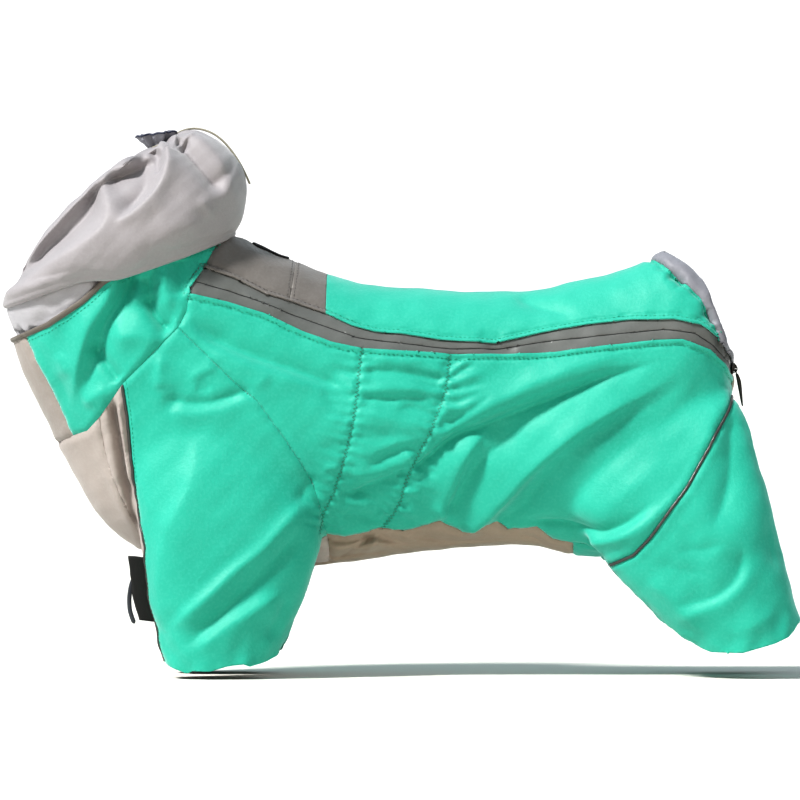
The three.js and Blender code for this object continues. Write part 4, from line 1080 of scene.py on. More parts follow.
MINT = softshell("mint_softshell", deep=(0.012, 0.305, 0.228), base=(0.027, 0.395, 0.298),
                 pale=(0.11, 0.55, 0.455), rough=0.53, sheen=0.5, tint=(0.75, 1.0, 1.0))
GREY = softshell("grey_softshell", deep=(0.27, 0.253, 0.265), base=(0.325, 0.305, 0.32),
                 pale=(0.42, 0.40, 0.415), rough=0.56, sheen=0.3)
YOKE_GREY = softshell("yoke_softshell", deep=(0.138, 0.127, 0.121), base=(0.178, 0.164, 0.156),
                      pale=(0.26, 0.25, 0.245))
THROAT_GREY = softshell("throat_softshell", deep=(0.255, 0.225, 0.21), base=(0.315, 0.28, 0.26),
                        pale=(0.43, 0.39, 0.37))
# The belly's warm brown is partly its own cloth and partly painted warm bounce light from the floor.
BELLY_BOUNCE_GREY = softshell("belly_softshell_warm_bounce", deep=(0.25, 0.20, 0.155), base=(0.31, 0.25, 0.20),
                       pale=(0.38, 0.32, 0.27))
LINING = softshell("facing_softshell", deep=(0.33, 0.32, 0.345), base=(0.42, 0.41, 0.435),
                   pale=(0.52, 0.51, 0.53))
PALE_GREY = softshell("pale_grey_softshell", deep=(0.32, 0.28, 0.26), base=(0.39, 0.345, 0.325),
                      pale=(0.48, 0.44, 0.42))
ZIP_TAPE = softshell("zip_tape_coating", deep=(0.105, 0.11, 0.108), base=(0.14, 0.145, 0.142),
                     pale=(0.185, 0.19, 0.185), rough=0.36, sheen=0.05, grain=0.10)
BINDING = softshell("stretch_binding", deep=(0.16, 0.16, 0.185), base=(0.225, 0.225, 0.255),
                    pale=(0.30, 0.30, 0.335), rough=0.5, sheen=0.2, grain=0.3)
GREY_SLOT, MINT_SLOT, TAPE_SLOT = "grey_softshell", "mint_softshell", "zip_tape"
PANELS = {                       # slot, finish, then the flat cut: its width, length (m) and area (m2)
    "throat_panel": (GREY_SLOT, THROAT_GREY, 0.072, 0.085, 0.0049),
    "chest_panel": (GREY_SLOT, PALE_GREY, 0.095, 0.105, 0.0085),
    "yoke_front": (GREY_SLOT, YOKE_GREY, 0.084, 0.092, 0.0069),
    "yoke_rear": (GREY_SLOT, YOKE_GREY, 0.034, 0.092, 0.0029),
    "back_panel": (MINT_SLOT, MINT, 0.130, 0.300, 0.0340),
    "belly_panel": (GREY_SLOT, BELLY_BOUNCE_GREY, 0.074, 0.312, 0.0169),
    "tail_binding": ("binding_tape", BINDING, 0.016, 0.210, 0.0032),
    "zip_tape_upper": (TAPE_SLOT, ZIP_TAPE, 0.010, 0.400, 0.0033),
    "zip_tape_lower": (TAPE_SLOT, ZIP_TAPE, 0.010, 0.400, 0.0033),
}
for word in ("left", "right"):
    PANELS.update({
        "collar_" + word: (MINT_SLOT, MINT, 0.080, 0.178, 0.0098),
        "shoulder_" + word: (MINT_SLOT, MINT, 0.150, 0.250, 0.0287),
        "side_" + word: (MINT_SLOT, MINT, 0.168, 0.405, 0.0518),
        "hind_leg_outer_" + word: (MINT_SLOT, MINT, 0.135, 0.195, 0.0187),
        "hind_leg_inner_" + word: (MINT_SLOT, MINT, 0.150, 0.190, 0.0158),
        "chest_side_" + word: (GREY_SLOT, PALE_GREY, 0.110, 0.215, 0.0147),
    })


def smooth_mesh(name, points, faces, material):
    """A mesh object with one finish, smooth all over."""
    made = mesh_of(name, points, faces)
    made.data.materials.append(material)
    made.data.polygons.foreach_set("use_smooth", [True] * len(made.data.polygons))
    return made


def shell_of(name, points, faces, material, thick):
    """One thin piece of cloth with its outer face where the points are."""
    made = smooth_mesh(name, points, faces, material)
    wall = made.modifiers.new("wall", "SOLIDIFY")
    wall.thickness = thick * MM
    wall.offset = -1
    wall.use_rim = True
    return made


for name, (slot, material, width, length, area) in PANELS.items():
    own = panel_of == seed_names.index(name)
    used, numbered = np.unique(cloth_faces[own], return_inverse=True)
    lift = on_tape[used] if name.startswith("zip_tape") else on_cloth[used]
    panel_points = bent_points[used] + bent_outward[used] * lift[:, None]
    panel = shell_of(name + "_cloth", panel_points, numbered.reshape(-1, 3), material, CLOTH_THICK)
    riding(panel, slot, name)

# ---- hood ----
# One tube of the grey softshell, folded over the collar and drawn shut at its far end by the cord. Its
# lip rolls under, and the cloth gathers in pleats towards the knot.
HOOD_RINGS = [                   # front x, front z, rear x, rear z, half the width
    (-315, -11, -147, 42, 56), (-312, -3, -142.5, 50, 61), (-303, 8, -140.5, 62, 64),
    (-296, 24, -139.5, 76, 62), (-285, 40, -142.5, 88.5, 57), (-268, 59, -151.5, 100, 49),
    (-254, 73, -161, 108.5, 40), (-241, 84, -171, 113.2, 31), (-229, 91.5, -180.5, 114.2, 23),
    (-218, 96.5, -189, 111.5, 15), (-210.5, 100, -195, 107, 8.5),
]
LIP_ROLL = 3.6                   # mm, how round the lip turns under
LIP_SAG = 6.0                    # how far the lip hangs below a straight line behind the jaw
LIP_LIFT = 1.5                   # and how far it gapes in front of it
LIP_STEPS = 7
LIP_TAIL = 7                     # how far the lip's cloth runs on up inside
DOWNWARD = np.array([0.30, 0, -0.954])     # square to the lip
HOOD_AROUND = 240
HOOD_BETWEEN = 9
HOOD_FOLD_STRENGTH = 1.35
# Folds and hollows have the columns of the flank's folds. A hollow sinks straight in from the side.
HOOD_FOLDS = [
    ([(-316, -12), (-300, 2), (-284, 13), (-269, 22), (-252, 33), (-241, 42), (-236.5, 55), (-239, 70),
      (-231, 86)], 7.0, 3.0, -0.2, 0.1, 0.2),
    ([(-195.1, 101), (-194.4, 90), (-197.3, 79.2), (-203, 69.1), (-211.7, 59.8), (-223.2, 51.1),
      (-234, 44.6)], 5.0, 4.4, 0.35, 0.04, 0.35),
    ([(-200.9, 100.8), (-203, 93.6), (-201.6, 86.4), (-198.7, 82.1)], 3.4, -4.0, 0, 0.15, 0.3),
    ([(-186.5, 104), (-178.6, 96.5), (-169.2, 86.4), (-160.6, 76.3), (-152.6, 69.1)],
     7.0, -3.0, 0.5, 0.08, 0.25),
    ([(-183, 111), (-171, 104), (-160, 93), (-151, 80)], 8, 2.6, 0, 0.15, 0.3),
    ([(-190.1, 108), (-185.8, 106.6), (-180, 103.7)], 3.4, -3.0, 0, 0.1, 0.3),
    ([(-173.5, 66.2), (-167, 58.3), (-161.3, 50.4)], 4, 1.4, 0.2, 0.35, 0.35),
    ([(-208.8, 36), (-187.2, 41.8), (-168.5, 54.7)], 16, 2.0, 0, 0.35, 0.35),
    ([(-162.7, 37.4), (-187.2, 28.8), (-216, 20.2)], 5, -1.2, 0, 0.3, 0.3),
    ([(-302.4, 1.4), (-292.3, 5.8), (-279.4, 10.1), (-259.2, 14.4)], 4, -1.6, 0, 0.25, 0.4),
]
HOOD_HOLLOWS = [
    ([(-304, 8), (-293, 16), (-276, 31), (-258, 46), (-249.5, 57), (-246.5, 68), (-243, 78)],
     8.5, -17.0, 0.55, 0.12, 0.15),
    ([(-303, 14), (-287, 36), (-272, 53), (-259, 66), (-243, 80), (-226, 92), (-212, 98)],
     5.5, 21.0, 0, 0.15, 0.12),
    ([(-241, 80), (-228, 81), (-215, 86), (-206, 95)], 6.5, -12.0, 0, 0.2, 0.15),
    ([(-206.2, 101), (-204.4, 93), (-202.6, 86)], 3.2, -9.0, 0, 0.1, 0.35),
    ([(-208, 92), (-208.8, 77), (-213.5, 66), (-222, 58), (-232, 53)], 6.5, -9.0, -0.5, 0.15, 0.3),
    ([(-187, 106), (-182, 100), (-175, 92), (-168, 83), (-161, 74.5), (-153, 69)],
     7.0, -9.0, 0.5, 0.06, 0.2),
    ([(-188, 109), (-184.5, 107)], 2.4, -4.0, 0, 0.1, 0.1),
]


def halved(quads):
    """Each four-sided face as two triangles."""
    return np.vstack([quads[:, [0, 1, 2]], quads[:, [0, 2, 3]]])


def tube(rows, around, between):
    """An open tube: its points and quads, and each point's share of the length and turn about it."""
    rings = oval_rings(rows, around, between)
    share = np.repeat(np.linspace(0, 1, len(rings)), around)
    turn = np.tile(2 * math.pi * np.arange(around) / around, len(rings))
    return *ring_grid(rings), share, turn


hood_points, hood_quads, hood_share, hood_turn = tube(HOOD_RINGS, HOOD_AROUND, HOOD_BETWEEN)
lip_middle = hood_points[:HOOD_AROUND].mean(axis=0)
low_part = eased(0.3 - hood_share, 0, 0.3)
side_share = np.abs(np.sin(hood_turn)) ** 1.5
rear_share = eased(hood_points[:, 0], -262, -225)
front_lift = eased(hood_points[:, 0], -312, -285) * (1 - eased(hood_points[:, 0], -262, -235))
hood_points[:, 2] -= LIP_SAG * low_part * side_share * rear_share
hood_points[:, 2] += LIP_LIFT * low_part * side_share * front_lift
hood_outward = point_normals(hood_points, halved(hood_quads))
hx, hy, hz = hood_points.T
gather = eased(hood_share, 0.45, 0.97)
wander = 0.5 * np.sin(2 * hood_turn + 0.7) + 0.35 * np.sin(3 * hood_turn + 2.0)
pleat_wave = np.cos(11 * hood_turn + 2.2 * wander) + 0.5 * np.cos(17 * hood_turn + 3.1 * wander + 1.0)
drawn = (1.5 * pleat_wave - 0.6) * gather * (1 - 0.72 * eased(hood_share, 0.8, 1.0))
side_calm = 1 - 0.55 * eased(-hood_outward[:, 1], 0.3, 0.8)
hood_pressed = drawn * side_calm + 0.5 * ripple(hood_points, 40, 6.0) + 0.2 * ripple(hood_points, 16, 7.0)
hood_left = eased(-hood_outward[:, 1], 0.0, 0.35)
hood_right = eased(hood_outward[:, 1], 0.0, 0.35)
hood_pressed += folded(hx, hz, HOOD_FOLDS, hood_left, hood_right,
                       lambda n: (4 * math.sin(2.1 * n + 1), 3 * math.cos(1.3 * n)),
                       lambda n: 0.8, HOOD_FOLD_STRENGTH)
hood_sunk = folded(hx, hz, HOOD_HOLLOWS, hy < 0, hy > 0,
                   lambda n: (3 * math.sin(1.9 * n + 2), 3 * math.cos(2.3 * n)), lambda n: 0.8)
for _ in range(3):               # the hollows' edges made round
    sheet = hood_sunk.reshape(-1, HOOD_AROUND)
    sheet = (np.roll(sheet, 1, axis=1) + 2 * sheet + np.roll(sheet, -1, axis=1)) / 4
    sheet[1:-1] = (sheet[:-2] + 2 * sheet[1:-1] + sheet[2:]) / 4
    hood_sunk = sheet.ravel()
hood_sunk = np.maximum(hood_sunk, -0.7 * np.abs(hy)) * np.clip(np.abs(hy) / 12, 0, 1)
hood_points[:, 1] += np.sign(hy) * hood_sunk
lip_turn = np.exp(-(hood_share / 0.05) ** 2)
hood_points = hood_points + hood_outward * (hood_pressed * (1 - 0.8 * lip_turn))[:, None]
first_ring = hood_points[:HOOD_AROUND]
inward = unit(lip_middle - first_ring)
roll_rings = []
for step in range(1, LIP_STEPS + 1):
    turn = math.pi * step / LIP_STEPS
    roll_rings.append(first_ring + DOWNWARD * (LIP_ROLL * math.sin(turn))
                      + inward * (LIP_ROLL * (1 - math.cos(turn))))
roll_rings.append(roll_rings[-1] - DOWNWARD * LIP_TAIL + inward * 1.5)
hood_points, hood_quads = ring_grid(roll_rings[::-1] + list(hood_points.reshape(-1, HOOD_AROUND, 3)))
hood = shell_of("hood_cloth", hood_points, hood_quads, GREY, CLOTH_THICK)
riding(hood, "grey_softshell", "hood")

# ---- hood's gathered end ----
# Past the knot the end of the hood's tube stands up in a small tuft, pleated by the cord that draws it
# in. Its raw edge is overlocked with a dark thread, so that it can't fray.
TUFT_RINGS = [                   # in the hood's columns
    (-204, 103, -199.5, 105, 2.5), (-208.5, 101.5, -196, 106.5, 7.0), (-210, 103, -195, 108.5, 8.0),
    (-212.5, 105.4, -193.5, 110.4, 9.5), (-215.5, 108, -192, 112.2, 11.0), (-217, 110.6, -191, 114, 12.0),
]
TUFT_AROUND = 200
TUFT_BETWEEN = 7
TUFT_THICK = 1.0                 # mm
TUFT_CLOTH = softshell("tuft_softshell", deep=(0.20, 0.20, 0.235), base=(0.30, 0.30, 0.34),
                       pale=(0.42, 0.42, 0.46), rough=0.5)
tuft_points, tuft_quads, tuft_share, tuft_turn = tube(TUFT_RINGS, TUFT_AROUND, TUFT_BETWEEN)
tuft_outward = point_normals(tuft_points, halved(tuft_quads))
frill = np.cos(7 * tuft_turn + 0.9 * np.sin(2 * tuft_turn)) + 0.45 * np.cos(12 * tuft_turn + 2)
frill_lift = np.sin(7 * tuft_turn + 1.4 + 0.9 * np.sin(2 * tuft_turn))
stands = eased(tuft_share, 0.1, 1.0)
tuft_points = tuft_points + tuft_outward * (frill * (0.7 + 1.5 * stands))[:, None]
tuft_points[:, 2] += 0.9 * frill_lift * stands
tuft_points += tuft_outward * (0.5 * ripple(tuft_points, 7, 8.0) * stands)[:, None]
tuft = shell_of("hood_tuft_cloth", tuft_points, tuft_quads, TUFT_CLOTH, TUFT_THICK)
riding(tuft, "binding_tape", "hood_tuft")
tuft_rim = np.vstack([tuft_points[-TUFT_AROUND:], tuft_points[-TUFT_AROUND:][:1]])

# ---- hood facing ----
# The hood's lip runs on inside as a facing of the same cloth, paler on this side, gathered a little and
# sewn down to the collar's edge all round.
FACING_RINGS = [                 # in the hood's columns
    (-303, 12, -152, 52, 36), (-309, 0, -150, 46, 39), (-311, -12, -151, 40, 46),
    (-309, -19, -154, 38, 49), (-305, -26, -158, 36, 48),
    (-301, -31, -163, 33.5, 45.5), (-297, -36, -167, 30, 44),
]
FACING_AROUND = 260
FACING_BETWEEN = 8
FACING_THICK = 1.0               # mm
FACING_INSIDE = -2.8             # mm off the garment's outer face, so that it stays within
facing_points, facing_quads, facing_share, facing_turn = tube(FACING_RINGS, FACING_AROUND, FACING_BETWEEN)
facing_outward = point_normals(facing_points, halved(facing_quads))
facing_wave = np.cos(31 * facing_turn + 2.5 * np.sin(3 * facing_turn)) + 0.6 * np.cos(19 * facing_turn + 1)
facing_low = eased(facing_share, 0.5, 0.95)
hollow = np.exp(-((facing_share - 0.55) / 0.18) ** 2) * np.abs(np.sin(facing_turn))
facing_pressed = 0.8 * facing_wave * (0.3 + facing_share) - 5.0 * hollow
facing_pressed += 1.4 * facing_low * ripple(facing_points, 9, 12.0)
facing_points = facing_points + facing_outward * (facing_pressed - 1.0)[:, None]
facing_points[:, 1] *= 1 - 0.28 * eased(facing_points[:, 0], -262, -235)
tucked = eased(facing_share, 0.4, 0.8)
neck_opening = seed_names.index("waste_neck")
for number, point in enumerate(facing_points):
    place, out, face, _ = cloth_surface.find_nearest(Vector(point))
    off = float(np.dot(point - np.array(place), out))
    inner = FACING_INSIDE * (tucked[number] if panel_of[face] == neck_opening else 1)
    if off > inner:
        facing_points[number] = np.array(place) + np.array(out) * inner
facing = shell_of("hood_facing_cloth", facing_points, facing_quads, LINING, FACING_THICK)
riding(facing, "grey_softshell", "hood_facing")

# ---- cord round the knot ----
# The drawcord goes twice round the hood's gathered end and holds it shut. The same braid as its free
# end, pulled down into the pleats.
KNOT = (-202.8, 103.6)           # x and z, mm
CINCH_RADIUS = 8.9
CINCH_LEAN = 0.42                # radians off level
CINCH_RISE = 1.8                 # from the first turn to the second
CINCH_ACROSS = 1.5
cinch_turn = np.linspace(0, 4 * math.pi, 97)
cinch_out = CINCH_RADIUS * np.cos(cinch_turn)
cinch_up = (cinch_turn / (4 * math.pi) - 0.5) * CINCH_RISE
cinch_points = np.stack([
    KNOT[0] + cinch_out * math.cos(CINCH_LEAN) - cinch_up * math.sin(CINCH_LEAN),
    -CINCH_RADIUS * np.sin(cinch_turn),
    KNOT[1] + cinch_out * math.sin(CINCH_LEAN) + cinch_up * math.cos(CINCH_LEAN),
], axis=1)
cinch = cord_curve("cinch_turns", cinch_points, CINCH_ACROSS)
cinch.data.materials.append(CORD_BRAID)
riding(cinch, "drawcord", "hood_cinch")

# ---- collar binding ----
# A narrow stretch tape folded over the collar's top edge and sewn through, so it stands as a round
# rim. It runs round the throat from one side of the hood to the other.
BINDING_WIDE = 4.4               # mm, as it shows below the lip
BINDING_THICK = 2.8
BINDING_REAR = -160              # x where it passes in under the hood
BINDING_STEP = 1.5


def swept(route, off_cloth, along, wide, thick, around=16, ends=True):
    """A soft band with an oval section along a route, closed and rounded at its ends."""
    across = unit(np.cross(off_cloth, along))
    off = np.cross(along, across)
    turn = 2 * math.pi * np.arange(around) / around
    size = np.ones(len(route))
    if ends:
        size[0] = size[-1] = 0.3
        size[1] = size[-2] = 0.8
    ring = (across[:, None, :] * (np.cos(turn) * wide / 2)[None, :, None]
            + off[:, None, :] * (np.sin(turn) * thick / 2)[None, :, None])
    return closed_tube(list(route[:, None, :] + ring * np.reshape(size, (-1, 1, 1))))


def joined(name, parts, material):
    """Several sets of points and faces as one smooth mesh."""
    points, faces, start = [], [], 0
    for some_points, some_faces in parts:
        points.append(np.asarray(some_points))
        faces += [tuple(int(n) + start for n in face) for face in some_faces]
        start += len(some_points)
    return smooth_mesh(name, np.vstack(points), faces, material)


COLLAR_BINDING = braided("collar_binding_tape", dark=(0.13, 0.115, 0.10), light=(0.22, 0.195, 0.17),
                         scale=420, rough=0.55, bump=0.25)
neck_run = run_of("waste_neck", "collar_left", "collar_right", "throat_panel", "yoke_front",
                  "zip_tape_upper", "zip_tape_lower")[0]
neck_edge = bent_points[neck_run]
behind = int(np.argmax(neck_edge[:-1, 0]))
neck_edge = np.roll(neck_edge[:-1], -behind, axis=0)
neck_edge = neck_edge[neck_edge[:, 0] < BINDING_REAR]
neck_rim = evened(neck_edge, BINDING_STEP, 12)
rim_along = directions(neck_rim)
rim_off = (neck_rim - neck_rim.mean(axis=0)) * (0.4, 1, 1)
rim_off = unit(rim_off - rim_along * (rim_off * rim_along).sum(axis=1)[:, None])
rim = swept(neck_rim + rim_off * 0.5, rim_off, rim_along, BINDING_WIDE, BINDING_THICK)
collar_rim = joined("collar_binding_rim", [rim], COLLAR_BINDING)
riding(collar_rim, "binding_tape", "collar_binding")

# ---- overlocked edge of the hood's end ----
# Close loops of dark thread over the tuft's raw edge, all the way round. They make a soft, slightly
# raised rim.
OVERLOCK_WIDE = 1.5              # mm
OVERLOCK_THICK = 1.3
OVERLOCK = finished("overlock_thread", base=(0.045, 0.05, 0.085), rough=0.6, sheen=0.2)
edge_route = filled_in(tuft_rim[::4], 3)
edge_off = unit(edge_route - edge_route[:-1].mean(axis=0))
edge = swept(edge_route, edge_off, directions(edge_route, closed=True), OVERLOCK_WIDE, OVERLOCK_THICK, 8)
tuft_edge = joined("hood_tuft_overlock", [edge], OVERLOCK)
riding(tuft_edge, "binding_tape")

# ---- reflective piping ----
# Round piping caught in the seam down the front of each foreleg and round the seat over each hind
# leg: a core in a dark grey film that throws light back, its flange hidden in the seam.
PIPING_ACROSS = 2.2              # mm
PIPING_STEP = 1.4
HIND_PIPING_END = 122            # x where it runs in under the belly
PIPING_FILM = finished("piping_film", base=(0.05, 0.053, 0.05), rough=0.38, specular=0.7)
PIPING_SEAMS = {                 # the panel on one side, those on the other, and which of their seams
    "front": ("shoulder_", ("chest_side_",), lambda run: run[:, 0].mean() < -150),
    "hind": ("side_", ("hind_leg_outer_", "hind_leg_inner_"), lambda run: len(run) > 30),
}
piping_routes = {}
for word in ("left", "right"):
    for place, (own, others, wanted) in PIPING_SEAMS.items():
        found = run_of(own + word, *[other + word for other in others])
        runs = [bent_points[run] for run in found if wanted(bent_points[run])]
        route = evened(runs[0], PIPING_STEP, 10)
        if route[0, 2] < route[-1, 2]:
            route = route[::-1]
        if place == "hind":
            route = route[route[:, 0] > HIND_PIPING_END]
        places, off_cloth, along, _ = laid(route, 0, 0.7)
        piping_routes[place + "_" + word] = route
        cord = swept(places, off_cloth, along, PIPING_ACROSS, PIPING_ACROSS * 0.9, 12)
        node = "piping_" + place + "_" + word
        riding(joined(node + "_cord", [cord], PIPING_FILM), "reflective_piping", node)

# ---- leash opening ----
# A welted slit on the top of the yoke that a leash's hook passes through: a black tape rim sewn round the
# slit, whose dark opening is painted shade on a flat black sheet.
WELT_MIDDLE = -122               # x, mm
WELT_LONG = 24
WELT_HALF = 3.6
SLOT_ROWS, SLOT_COLUMNS = 12, 4
BLACK_TAPE = braided("black_tape", dark=(0.010, 0.010, 0.011), light=(0.035, 0.035, 0.037), scale=420,
                     rough=0.6, bump=0.3)


def squared_off(wave, power):
    """A sine or cosine flattened at its crests, for outlines between round and square."""
    return np.sign(wave) * np.abs(wave) ** power


def on_top(along_x, across_y, lift):
    """A place on the garment's top seen from straight above, lifted off the cloth."""
    place, out = cloth_surface.ray_cast(Vector((along_x, across_y, FAR)), Vector((0, 0, -1)))[:2]
    return np.array(place) + np.array(out) * lift


def patch_faces(rows, columns):
    """The four-sided faces of a patch whose points are counted row by row."""
    wide = columns + 1
    return [(i * wide + j, (i + 1) * wide + j, (i + 1) * wide + j + 1, i * wide + j + 1)
            for i in range(rows) for j in range(columns)]


welt_turn = np.linspace(0, 2 * math.pi, 49)
welt_rim = np.array([
    on_top(WELT_MIDDLE + squared_off(math.cos(a), 0.35) * WELT_LONG / 2,
           squared_off(math.sin(a), 0.5) * WELT_HALF, 0.5)
    for a in welt_turn
])
welt_off = np.tile(np.array([0.25, 0, 0.97]), (len(welt_rim), 1))
rim = swept(welt_rim, welt_off, directions(welt_rim, closed=True), 3.0, 2.0, 10, ends=False)
# The slit's opening: a flat black sheet laid on the cloth, painted shade.
slot_shade_points = np.array([
    on_top(WELT_MIDDLE + WELT_LONG * (i / SLOT_ROWS - 0.5) * 0.96,
           WELT_HALF * (j / SLOT_COLUMNS - 0.5) * 1.7, 0.35)
    for i in range(SLOT_ROWS + 1) for j in range(SLOT_COLUMNS + 1)
])
slot_shade_part = (slot_shade_points, patch_faces(SLOT_ROWS, SLOT_COLUMNS))
welt = joined("leash_welt_tape", [rim, slot_shade_part], BLACK_TAPE)
riding(welt, "black_label", "leash_welt")

# ---- zip's meeting line ----
# A coil zip whose two coated tapes are let in from the left of the neck along the flank to the tail.
# The coil lies under the tapes; the dark line where they meet is partly the coil, partly painted shade in
# the gap.
ZIP_LINE_WIDE = 0.55             # mm
ZIP_LINE_THICK = 0.5
ZIP_LINE = finished("zip_line_coil_and_shade", base=(0.035, 0.036, 0.038), rough=0.5)
tape_points = bent_points + bent_outward * on_tape[:, None]
middle_run = run_of("zip_tape_upper", "zip_tape_lower")[0]
line_route = evened(tape_points[middle_run], 1.6, 14)
middle_tree = tree_of(tape_points, middle_run)
line_off = np.array([bent_outward[middle_tree.find(Vector(p))[1]] for p in line_route])
line_part = swept(line_route + line_off * 0.1, line_off, directions(line_route), ZIP_LINE_WIDE,
                  ZIP_LINE_THICK, 8)
riding(joined("zip_meeting_line", [line_part], ZIP_LINE), "zip_tape")

# ---- zip slider ----
# The zip is closed at the tail end, where its slider stands: a die-cast body in black enamel, two
# plates joined by a core, with a bridge on the outer one that holds the pull tab.
SLIDER_MIDDLE = -54.0            # z, mm
SLIDER_OUTLINE = [               # height above the middle, half width
    (6.5, 1.2), (6.2, 3.0), (4.6, 4.0), (1.8, 3.9), (-0.6, 2.9), (-3.2, 2.7), (-5.6, 3.0), (-6.5, 2.0),
]
BOSS_OUTLINE = [(1.4, 0.2), (1.1, 0.7), (-1.6, 0.85), (-4.2, 0.7), (-4.6, 0.2)]
CROWN_OUTLINE = [(0.2, 0.2), (-0.1, 0.7), (-2.1, 0.7), (-2.45, 0.2)]
FOOT_OUTLINE = [(-3.55, 0.2), (-3.8, 0.7), (-4.6, 0.7), (-4.9, 0.2)]
CORE_OUTLINE = [(1.8, 0.2), (1.5, 1.2), (0, 1.6), (-1.5, 1.2), (-1.8, 0.2)]
SLIDER_PLATES = [                # outline, x where it starts and ends, how far its rim is drawn in
    (SLIDER_OUTLINE, 206.9, 208.4, 0.35), (SLIDER_OUTLINE, 209.6, 211.3, 0.35),
    (CORE_OUTLINE, 208.2, 209.9, 0.1), (BOSS_OUTLINE, 211.1, 212.35, 0.3),
    (CROWN_OUTLINE, 212.2, 213.5, 0.1), (FOOT_OUTLINE, 212.2, 213.1, 0.1),
]
RIM = 0.35                       # mm, the softened edge of every plate
BRIDGE = [(210.8, 0, -52.6), (212.4, 0, -53.6), (213.7, 0, -55.6), (213.8, 0, -57.6),
          (212.7, 0, -59.0), (210.8, 0, -59.3)]
BRIDGE_DEEP = 0.8
BRIDGE_WIDE = 1.9
ENAMEL = finished("black_enamel", base=(0.012, 0.012, 0.013), rough=0.32, specular=0.6)


def plate(outline, near, far, shrink):
    """A flat piece facing the tail, from its half outline, with a softened rim."""
    half = filled_in(outline, 4)
    rows = [(near, shrink), (near + RIM, 0), (far - RIM, 0), (far, shrink)]
    edge = np.vstack([half, half[::-1] * (1, -1)])
    rings = []
    for at_x, inset in rows:
        scale = 1 - inset / 4
        rings.append([(at_x, w * scale, SLIDER_MIDDLE + h * scale) for h, w in edge])
    return closed_tube(rings)


def bar(points, deep, wide, around=10):
    """A bar along a short smooth line in the middle plane; wide is its size from left to right."""
    route = filled_in(points, 6)
    off = np.tile(np.array([0.0, 1.0, 0.0]), (len(route), 1))
    return swept(route, off, directions(route), deep, wide, around, ends=False)


slider_parts = [plate(*row) for row in SLIDER_PLATES] + [bar(BRIDGE, BRIDGE_DEEP, BRIDGE_WIDE)]
slider = joined("zip_slider_body", slider_parts, ENAMEL)
for face in slider.data.polygons:
    face.use_smooth = len(face.vertices) == 4
riding(slider, "black_slider", "zip_slider")

# ---- pull tab ----
# A moulded tab in the slider's black that hangs from the bridge by a thin wire loop. It is fattest a
# third of the way down and thins to its tip.
PULL_HINGE = (212.84, -57.0)     # x and z, mm
PULL_LEAN = 0.19                 # radians off upright
PULL_ROWS = [                    # run down the tab, half width, inner face, outer face
    (3.2, 1.7, -0.7, 0.6), (3.7, 2.1, -0.8, 1.1), (5.5, 2.4, -0.8, 1.6), (9, 2.5, -0.8, 2.2),
    (14, 2.5, -0.8, 1.9), (19, 2.3, -0.8, 1.3), (24, 2.0, -0.75, 0.7), (26.4, 1.4, -0.6, 0.4),
    (27.0, 0.6, -0.4, 0.1),
]
PULL_AROUND = 20
LOOP_AROUND = 25
LOOP_LONG = 3.5
LOOP_HALF = 1.6
WIRE = 0.8


def hung(run, aside, depth):
    """Places on the hanging tab: how far down it, to one side, and out from its middle."""
    return np.stack([PULL_HINGE[0] + run * math.sin(PULL_LEAN) + depth * math.cos(PULL_LEAN), aside,
                     PULL_HINGE[1] - run * math.cos(PULL_LEAN) + depth * math.sin(PULL_LEAN)], axis=1)


pull_turn = 2 * math.pi * np.arange(PULL_AROUND) / PULL_AROUND
pull_rings = []
for run, half, inner, outer in filled_in(PULL_ROWS, 4):
    depth = (inner + outer) / 2 + (outer - inner) / 2 * squared_off(np.sin(pull_turn), 0.7)
    pull_rings.append(hung(run, half * squared_off(np.cos(pull_turn), 0.6), depth))
ring_turn = np.linspace(0, 2 * math.pi, LOOP_AROUND)
loop = hung(LOOP_LONG / 2 * (1 - np.cos(ring_turn)), LOOP_HALF * squared_off(np.sin(ring_turn), 0.6), 0)
loop_off = np.tile(np.array([1.0, 0, 0]), (LOOP_AROUND, 1))
loop_part = swept(loop, loop_off, directions(loop, closed=True), WIRE, WIRE, 8, ends=False)
pull = joined("zip_pull_tab", [closed_tube(pull_rings), loop_part], ENAMEL)
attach(pull, "pull_tab")
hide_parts("zip_pull")

# ---- end of the zip tape ----
# Below the slider the pale woven end of the zip's tape is folded over and caught in the seam down the
# seat.
TAPE_END = [(208.8, 0, -60.0), (210.2, 0, -62.8), (210.7, 0, -66.5), (209.4, 0, -72.5)]
TAPE_END_DEEP = 2.6              # mm
TAPE_END_WIDE = 3.6
PALE_TAPE = braided("zip_tape_end", dark=(0.45, 0.43, 0.38), light=(0.75, 0.72, 0.66), scale=420,
                    rough=0.7, bump=0.3)
tail_end = joined("zip_tape_end_fold", [bar(TAPE_END, TAPE_END_DEEP, TAPE_END_WIDE, 8)], PALE_TAPE)
riding(tail_end, "zip_tape")

